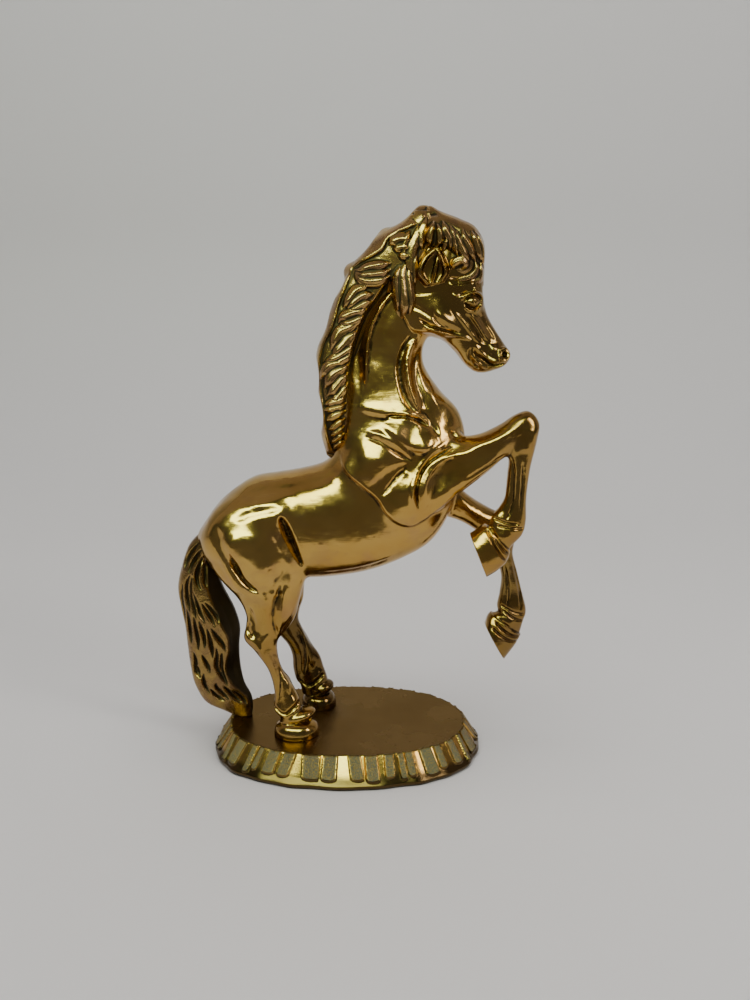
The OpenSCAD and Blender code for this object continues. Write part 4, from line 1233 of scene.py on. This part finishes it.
class Petals:
    """Uneven petals with uneven gaps round the rim, for each of the rim's points."""

    def __init__(self, rng, u):
        widths = rng.uniform(0.45, 1.5, PETALS)
        gaps = rng.uniform(0.10, 0.62, PETALS)
        gaps[rng.random(PETALS) < 0.3] = 0.06
        total = widths.sum() + gaps.sum()
        starts = np.concatenate([[0], np.cumsum(widths + gaps)[:-1]]) / total
        centres = starts + widths / 2 / total
        leans = rng.normal(0, 0.0022, PETALS)
        ends = rng.uniform(0.84, 0.98, PETALS)
        heights = rng.uniform(0.75, 1.25, PETALS)
        nearest = np.abs((u[:, None] - centres[None] + 0.5) % 1 - 0.5).argmin(axis=1)
        self.u = u
        self.centre = centres[nearest]
        self.half = widths[nearest] / 2 / total
        self.lean = leans[nearest]
        self.end = ends[nearest]
        self.height = heights[nearest]

    def row(self, v, grain):
        """How far the petals rise at v, the part of the way down, and where the metal is rough."""
        q = ((self.u - self.centre - self.lean * v * 2.5 + 0.5) % 1 - 0.5) / self.half
        end = self.end - 0.10 * (1 - np.sqrt(np.clip(1 - q * q, 0, 1)))
        inside = np.clip((1 - np.abs(q)) * 7, 0, 1) * np.clip((end - v) * 22, 0, 1)
        inside = inside * inside * (3 - 2 * inside)
        # A petal has a raised rim, a rounded lower end and a rough, slightly hollow face.
        rib = np.exp(-((np.abs(q) - 0.84) / 0.14)**2)
        rib += np.exp(-((end - v - 0.035) / 0.035)**2) * (np.abs(q) < 0.9)
        rise = self.height * inside * (0.50 + 0.45 * rib + 0.08 * np.cos(q * 2.2))
        rise += inside * (1 - rib * 0.6) * 0.10 * grain
        rough = np.clip(inside * (1 - 0.85 * np.clip(rib, 0, 1)), 0, 1)
        return rise * np.clip(v * 14, 0.25, 1), rough


def rim_rings(mesh, t, u, rows):
    """The rim's rings from the crown to the foot."""
    rng = np.random.default_rng(7)
    petals = Petals(rng, u)
    grain = rng.normal(0, 1, (len(u), rows))
    grain = (grain + np.roll(grain, 1, 0) + np.roll(grain, 1, 1)) / 1.7
    top_wave = waves(rng, t, (9, 17, 31), 0.28)
    lip_wave = waves(rng, t, (7, 13, 22), 0.42)
    nx, ny = superellipse(1, 1, t, 2)
    rings = []
    for row, v in enumerate(np.linspace(0, 1, rows)):
        inset = np.interp(v, SLOPE, SLOPE_INSET)
        x, y = superellipse(FOOT_HALF_LENGTH - inset, FOOT_HALF_WIDTH - inset * 0.92, t)
        rise, rough = petals.row(v, grain[:, row])
        out = rise * 0.72 + lip_wave * v + top_wave * (1 - v)
        up = rise * (0.62 if row else 0.27)
        z = np.interp(v, SLOPE, SLOPE_HEIGHT) + up
        rings.append(mesh.ring(x + nx * out + BASE_MIDDLE, y + ny * out, z, rough))
    return rings


def screw_boss(mesh, x, y):
    """A boss under the roof with a screw's hole through it. Returns the hole's top and the boss's."""
    turn = np.linspace(0, 2 * np.pi, 64, endpoint=False)
    cx, cy = np.cos(turn), np.sin(turn)
    hole_top = mesh.ring(x + SCREW_HOLE * cx, y + SCREW_HOLE * cy, BASE_TOP, 0.5)
    hole_low = mesh.ring(x + SCREW_HOLE * cx, y + SCREW_HOLE * cy, BOSS_FOOT, 0.5)
    boss_low = mesh.ring(x + BOSS_RADIUS * cx, y + BOSS_RADIUS * cy, BOSS_FOOT, 0.5)
    boss_top = mesh.ring(x + BOSS_RADIUS * cx, y + BOSS_RADIUS * cy, ROOF, 0.8)
    mesh.band(hole_low, hole_top)
    mesh.band(boss_low, hole_low, True)
    mesh.band(boss_top, boss_low)
    return hole_top, boss_top


def make_base(material):
    """Petals of rough metal lie on the polished slope of the rim, above a smooth foot."""
    around, rows = ((1500, 46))
    t, u = even_turn(around)
    mesh = Mesh()
    rings = rim_rings(mesh, t, u, rows)
    for a, b in zip(rings[:-1], rings[1:]):
        mesh.band(a, b)
    x, y, _ = mesh.points[-1].T
    edge = mesh.ring(x * 0.9975, y * 0.9975, 1.2)
    foot = mesh.ring(x * 0.985, y * 0.985, 0.0)
    mesh.band(rings[-1], edge)
    mesh.band(edge, foot)
    # Hollow underneath, with a boss round each screw.
    x, y = superellipse(HOLLOW_HALF_LENGTH, HOLLOW_HALF_WIDTH, t)
    inner = mesh.ring(x + BASE_MIDDLE, y, 0.0, 0.8)
    x, y = superellipse(HOLLOW_HALF_LENGTH - HOLLOW_SLOPE, HOLLOW_HALF_WIDTH - HOLLOW_SLOPE, t)
    roof = mesh.ring(x + BASE_MIDDLE, y, ROOF, 0.8)
    mesh.band(foot, inner)
    mesh.band(inner, roof)
    tops, bosses = zip(*[screw_boss(mesh, x, y) for x, y, _, _ in HIND_HOOVES])
    # The crown ends level with the top plate.
    crown = mesh.points[0]
    crown[:, 2] = np.minimum(crown[:, 2], BASE_TOP)
    rim = mesh.ring(crown[:, 0] * 0.992, crown[:, 1] * 0.992, BASE_TOP)
    mesh.band(rim, rings[0])
    mesh.plate([rim, *tops], True)
    mesh.plate([roof, *bosses], False)
    mesh.surface().build("base", material, "base_brass", "base")


# ---------------------------------------------------------------- materials

class Nodes:
    """A short way to write the nodes of a material or a world."""

    def __init__(self, owner):
        self.owner = owner
        owner.use_nodes = True
        self.tree = owner.node_tree

    def add(self, kind, inputs=None, **settings):
        node = self.tree.nodes.new(kind)
        for key, value in settings.items():
            setattr(node, key, value)
        for key, value in (inputs or {}).items():
            self.set(node.inputs[key], value)
        return node

    def set(self, socket, value):
        if isinstance(value, bpy.types.NodeSocket):
            self.tree.links.new(value, socket)
        else:
            socket.default_value = value

    def place(self):
        return self.add("ShaderNodeTexCoord").outputs["Object"]

    def scaled(self, vector, scale, turn=(0, 0, 0)):
        return self.add("ShaderNodeMapping", {"Vector": vector, "Scale": scale, "Rotation": turn}).outputs[0]

    def noise(self, vector, scale, detail=3.0, rough=0.5, distortion=0.0):
        return self.add("ShaderNodeTexNoise", {"Vector": vector, "Scale": scale, "Detail": detail,
                                               "Roughness": rough, "Distortion": distortion}).outputs[0]

    def math(self, operation, a, b=0.0, clamp=False):
        return self.add("ShaderNodeMath", {0: a, 1: b}, operation=operation, use_clamp=clamp).outputs[0]

    def span(self, value, low, high, to_low=0.0, to_high=1.0):
        return self.add("ShaderNodeMapRange", {"Value": value, "From Min": low, "From Max": high,
                                               "To Min": to_low, "To Max": to_high}).outputs[0]

    def mix(self, factor, a, b):
        node = self.add("ShaderNodeMix", data_type="RGBA")
        self.set(node.inputs[0], factor)
        self.set(node.inputs[6], a)
        self.set(node.inputs[7], b)
        return node.outputs[2]

    def attribute(self, name):
        return self.add("ShaderNodeAttribute", attribute_name=name).outputs["Fac"]

    def bump(self, height, strength, distance, normal=None):
        inputs = {"Height": height, "Strength": strength, "Distance": distance}
        if normal:
            inputs["Normal"] = normal
        return self.add("ShaderNodeBump", inputs).outputs[0]

    def finish(self, **sockets):
        shader = self.tree.nodes["Principled BSDF"]
        for key, value in sockets.items():
            self.set(shader.inputs[key.replace("_", " ")], value)
        return self.owner


def material_nodes(name):
    return Nodes(bpy.data.materials.new(name))


def rgb(r, g, b):
    return (r, g, b, 1.0)


GOLD = rgb(0.455, 0.262, 0.064)
PALE_GOLD = rgb(0.53, 0.34, 0.098)
TAN = rgb(0.34, 0.20, 0.088)
ROSE = rgb(0.37, 0.19, 0.115)
SOOT = rgb(0.050, 0.036, 0.020)
UMBER = rgb(0.040, 0.026, 0.014)
VERDIGRIS = rgb(0.20, 0.188, 0.158)
BROWN = rgb(0.132, 0.080, 0.033)
LIGHT_BROWN = rgb(0.174, 0.108, 0.046)
BROWN_SHEEN = rgb(0.80, 0.70, 0.56)
WHITE = rgb(1, 1, 1)
STEEL = rgb(0.62, 0.61, 0.58)
STAINED_STEEL = rgb(0.30, 0.24, 0.19)


def polished_brass():
    """Hand-polished brass with painted shade in places, buffing lines and dark metal left in the creases."""
    n = material_nodes("polished_brass")
    place = n.place()
    painted_shade = n.attribute("painted_shade")
    cloud = n.noise(place, 28, 4, 0.55)
    blotch = n.noise(n.scaled(place, (1, 1, 1.7)), 75, 5, 0.6, 0.4)
    buff = n.noise(n.scaled(place, (40, 40, 700), (0.3, 0.9, 0.2)), 3, 2, 0.5)
    crease = n.span(n.attribute("recess"), 0.76, 0.96)
    colour = n.mix(n.span(cloud, 0.38, 0.66), GOLD, PALE_GOLD)
    colour = n.mix(n.math("MULTIPLY", n.span(blotch, 0.52, 0.74), 0.55), colour, TAN)
    colour = n.mix(n.math("MULTIPLY", n.span(n.noise(place, 46, 2), 0.60, 0.74), 0.35), colour, ROSE)
    # Painted shade: darker towards the muzzle, the hooves and the far legs.
    colour = n.mix(n.math("MULTIPLY", painted_shade, n.span(cloud, 0.3, 0.7, 0.85, 1.0)), colour, UMBER)
    grime = n.math("MULTIPLY", crease, n.span(n.noise(place, 420, 3), 0.25, 0.6, 0.45, 1.0), True)
    colour = n.mix(grime, colour, UMBER)
    rough = n.math("ADD", n.span(blotch, 0.3, 0.75, 0.13, 0.23), n.math("MULTIPLY", grime, 0.12))
    pits = n.span(n.noise(place, 900, 2, 0.6), 0.66, 0.76)
    height = n.math("ADD", n.math("MULTIPLY", buff, 0.35), n.math("MULTIPLY", pits, -0.6))
    wobble = n.noise(place, 95, 2, 0.5)
    normal = n.bump(height, 0.10, 0.0006, n.bump(wobble, 0.16, 0.0035))
    return n.finish(Base_Color=colour, Metallic=1.0, Roughness=rough, Normal=normal)


def patinated_brass():
    """Cast hair: polished on the ridges, nearly black between them."""
    n = material_nodes("patinated_brass")
    place = n.place()
    recess = n.attribute("recess")
    blotch = n.noise(place, 110, 5, 0.6, 0.3)
    fine = n.noise(place, 650, 3, 0.6)
    dark = n.span(n.math("ADD", recess, n.math("MULTIPLY", fine, 0.12)), 0.54, 0.74)
    colour = n.mix(n.span(blotch, 0.36, 0.62), PALE_GOLD, TAN)
    # Painted shade over the hair, strongest on the tail.
    colour = n.mix(n.attribute("painted_shade"), colour, UMBER)
    colour = n.mix(dark, colour, SOOT)
    rough = n.math("ADD", n.span(blotch, 0.3, 0.75, 0.18, 0.30), n.math("MULTIPLY", dark, 0.22))
    normal = n.bump(fine, 0.22, 0.0005, n.bump(blotch, 0.2, 0.002))
    return n.finish(Base_Color=colour, Metallic=1.0, Roughness=rough, Normal=normal)


def base_brass():
    """Satin brown top, polished wedges and rough grey-green petals on the rim, painted shade at its foot."""
    n = material_nodes("base_brass")
    place = n.place()
    worn = n.attribute("recess")
    grain = n.noise(place, 1500, 4, 0.7)
    cloud = n.noise(place, 40, 4, 0.5)
    height = n.add("ShaderNodeSeparateXYZ", {0: place}).outputs[2]
    top = n.span(height, BASE_TOP * MM - 0.0006, BASE_TOP * MM - 0.0001)
    brown = n.mix(n.span(cloud, 0.35, 0.65), BROWN, LIGHT_BROWN)
    gold = n.mix(n.span(cloud, 0.4, 0.62), PALE_GOLD, GOLD)
    petal = n.mix(n.span(grain, 0.46, 0.62, 0.0, 0.9), VERDIGRIS, PALE_GOLD)
    # Painted shade: the rim darkens towards its foot.
    painted_foot_shade = n.span(n.math("ADD", height, n.math("MULTIPLY", cloud, 0.0016)), 0.0056, 0.0080, 0.9, 0.0)
    gold = n.mix(painted_foot_shade, gold, UMBER)
    colour = n.mix(n.span(worn, 0.30, 0.75), gold, petal)
    colour = n.mix(top, colour, brown)
    rough = n.add("ShaderNodeMix", {0: n.span(worn, 0.3, 0.75), 2: 0.18, 3: 0.42}).outputs[0]
    rough = n.add("ShaderNodeMix", {0: top, 2: rough, 3: n.span(cloud, 0.3, 0.7, 0.20, 0.30)}).outputs[0]
    bumps = n.math("MULTIPLY", grain, n.span(worn, 0.3, 0.75, 0.04, 1.0))
    normal = n.bump(bumps, 0.8, 0.0013)
    # The brown skin keeps its colour at a glance.
    sheen = n.mix(top, WHITE, BROWN_SHEEN)
    return n.finish(Base_Color=colour, Metallic=1.0, Roughness=rough, Normal=normal, Specular_Tint=sheen)


def fixing_metal(name, colour, dull):
    """Turned steel or brass with fine lathe lines and a few stains."""
    n = material_nodes(name)
    place = n.place()
    lines = n.noise(n.scaled(place, (60, 60, 2600)), 2, 2)
    stain = n.noise(place, 260, 4, 0.6)
    tint = n.mix(n.span(stain, 0.5, 0.75), colour, dull)
    return n.finish(Base_Color=tint, Metallic=1.0, Roughness=n.span(stain, 0.3, 0.7, 0.28, 0.45),
                    Normal=n.bump(lines, 0.15, 0.0003))


def dress_fixings():
    steel = fixing_metal("fixing_steel", STEEL, STAINED_STEEL)
    brass = fixing_metal("fixing_brass", GOLD, UMBER)
    for name, material in (("body_pins", steel), ("neck_dowel", steel), ("hoof_screws", steel),
                           ("screw_washers", brass), ("tail_rivet", brass)):
        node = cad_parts[name]
        for slot in node.material_slots:
            slot.material = material


# ---------------------------------------------------------------- the studio

def plain_material(name, colour, rough):
    n = material_nodes(name)
    tone = n.noise(n.place(), 3, 3)
    shade = tuple(c * 0.97 for c in colour[:3]) + (1.0,)
    return n.finish(Base_Color=n.mix(tone, colour, shade), Roughness=rough)


def stage_piece(name, points, faces, material):
    mesh = bpy.data.meshes.new(name)
    mesh.from_pydata(points, [], faces)
    mesh.shade_smooth()
    mesh.materials.append(material)
    piece = bpy.data.objects.new(name, mesh)
    bpy.context.scene.collection.objects.link(piece)
    return piece


def studio():
    """A pale table with a pale wall behind it. The table's front and the rest of the room are seen by
    the camera, but leave the metal a dim room to mirror."""
    width, front, wall_at, sweep, wall = 2.2, -0.27, 0.75, 0.3, 1.6
    pale = plain_material("pale_floor", rgb(0.78, 0.775, 0.765), 0.6)
    profile = [(front, 0.0), (0.0, 0.0)]
    profile += [(wall_at - sweep + sweep * math.sin(a), sweep - sweep * math.cos(a))
                for a in np.linspace(0, math.pi / 2, 24)]
    profile += [(wall_at, wall)]
    points = [(x, y, z) for y, z in profile for x in (-width, width)]
    faces = [(2 * i, 2 * i + 1, 2 * i + 3, 2 * i + 2) for i in range(len(profile) - 1)]
    stage_piece("floor", points, faces, pale)
    near = [(-width, -width, 0), (width, -width, 0), (width, front, 0), (-width, front, 0)]
    stage_piece("floor_front", near, [(0, 1, 2, 3)], pale).visible_glossy = False


def lamp(name, place, target, size, power, colour, mirrored=True, lights_table=True):
    light = bpy.data.lights.new(name, "AREA")
    light.shape = "RECTANGLE"
    light.size, light.size_y = size
    light.energy = power
    light.color = colour
    obj = bpy.data.objects.new(name, light)
    obj.location = place
    obj.rotation_euler = (Vector(target) - Vector(place)).to_track_quat("-Z", "Y").to_euler()
    obj.visible_glossy = mirrored
    obj.visible_diffuse = lights_table
    bpy.context.scene.collection.objects.link(obj)


# What the metal mirrors: 0 is the horizon behind the photographer, 0.5 is overhead and 1 is the horizon
# behind the wall.
ROOM = [(0.0, (0.150, 0.145, 0.140)), (0.08, (0.100, 0.102, 0.105)), (0.17, (0.060, 0.064, 0.072)),
        (0.28, (0.115, 0.118, 0.105)), (0.37, (0.050, 0.042, 0.048)), (0.43, (0.31, 0.27, 0.27)),
        (1.0, (0.44, 0.40, 0.40))]
PALE = rgb(0.62, 0.615, 0.60)


def room():
    """The metal mirrors ROOM, while the camera itself sees a pale one."""
    n = Nodes(bpy.data.worlds.new("room"))
    parts = n.add("ShaderNodeSeparateXYZ", {0: n.add("ShaderNodeTexCoord").outputs["Generated"]}).outputs
    turn = n.math("ARCTAN2", parts[2], n.math("MULTIPLY", parts[1], -1.0))
    ramp = n.add("ShaderNodeValToRGB", {0: n.math("DIVIDE", turn, math.pi)})
    while len(ramp.color_ramp.elements) < len(ROOM):
        ramp.color_ramp.elements.new(0.5)
    for element, (place, colour) in zip(ramp.color_ramp.elements, ROOM):
        element.position = place
        element.color = rgb(*colour)
    seen = n.add("ShaderNodeLightPath").outputs["Is Camera Ray"]
    n.set(n.tree.nodes["Background"].inputs["Color"], n.mix(seen, ramp.outputs[0], PALE))
    bpy.context.scene.world = n.owner


def lights():
    middle = (0, 0, 0.12)
    lamp("soft_top", (0.0, -0.25, 1.5), (0, 0.1, 0), (1.6, 1.2), 17.2, (1, 0.99, 0.97), mirrored=False)
    # The greenish window that the metal mirrors doesn't tint the table.
    lamp("key", (-0.30, -0.82, 0.86), middle, (1.3, 0.42), 19, (0.76, 1.0, 0.55), lights_table=False)
    lamp("side", (1.0, -0.7, 0.75), middle, (0.25, 0.5), 4.0, (1, 0.97, 0.92))


# The photographer's place: this far away, looking down a little at this point.
TARGET = (0.0106, -0.0025, 0.1344)
DISTANCE = 0.5
PITCH = math.radians(13.2)


def camera():
    data = bpy.data.cameras.new("camera")
    data.lens, data.sensor_width, data.sensor_fit = 36, 36, "VERTICAL"
    data.sensor_height = 36
    obj = bpy.data.objects.new("camera", data)
    forward = Vector((0, math.cos(PITCH), -math.sin(PITCH)))
    obj.location = Vector(TARGET) - DISTANCE * forward
    obj.rotation_euler = forward.to_track_quat("-Z", "Y").to_euler()
    bpy.context.scene.collection.objects.link(obj)
    bpy.context.scene.camera = obj


# ---------------------------------------------------------------- everything

def build():
    polished = polished_brass()
    hair = patinated_brass()
    make_body(polished)
    make_head(polished)
    make_foreleg("foreleg_right", (28, -31, 92), (100, 1, 186), foreleg_right_relief(), -1, polished)
    make_foreleg("foreleg_left", (28, -1, 38), (100, 31, 165), foreleg_left_relief(), 1, polished)
    make_hind_leg("hind_leg_right", (-72, -31, 10), (-8, 1, 104), hind_leg_relief(0.0, 0.0), -1, polished)
    make_hind_leg("hind_leg_left", (-72, -1, 10), (-2, 31, 104), hind_leg_relief(5.0, 10.0), 1, polished)
    make_mane(hair)
    make_forelock(hair)
    make_tail(hair)
    make_base(base_brass())
    dress_fixings()


camera()
studio()
room()
lights()
build()
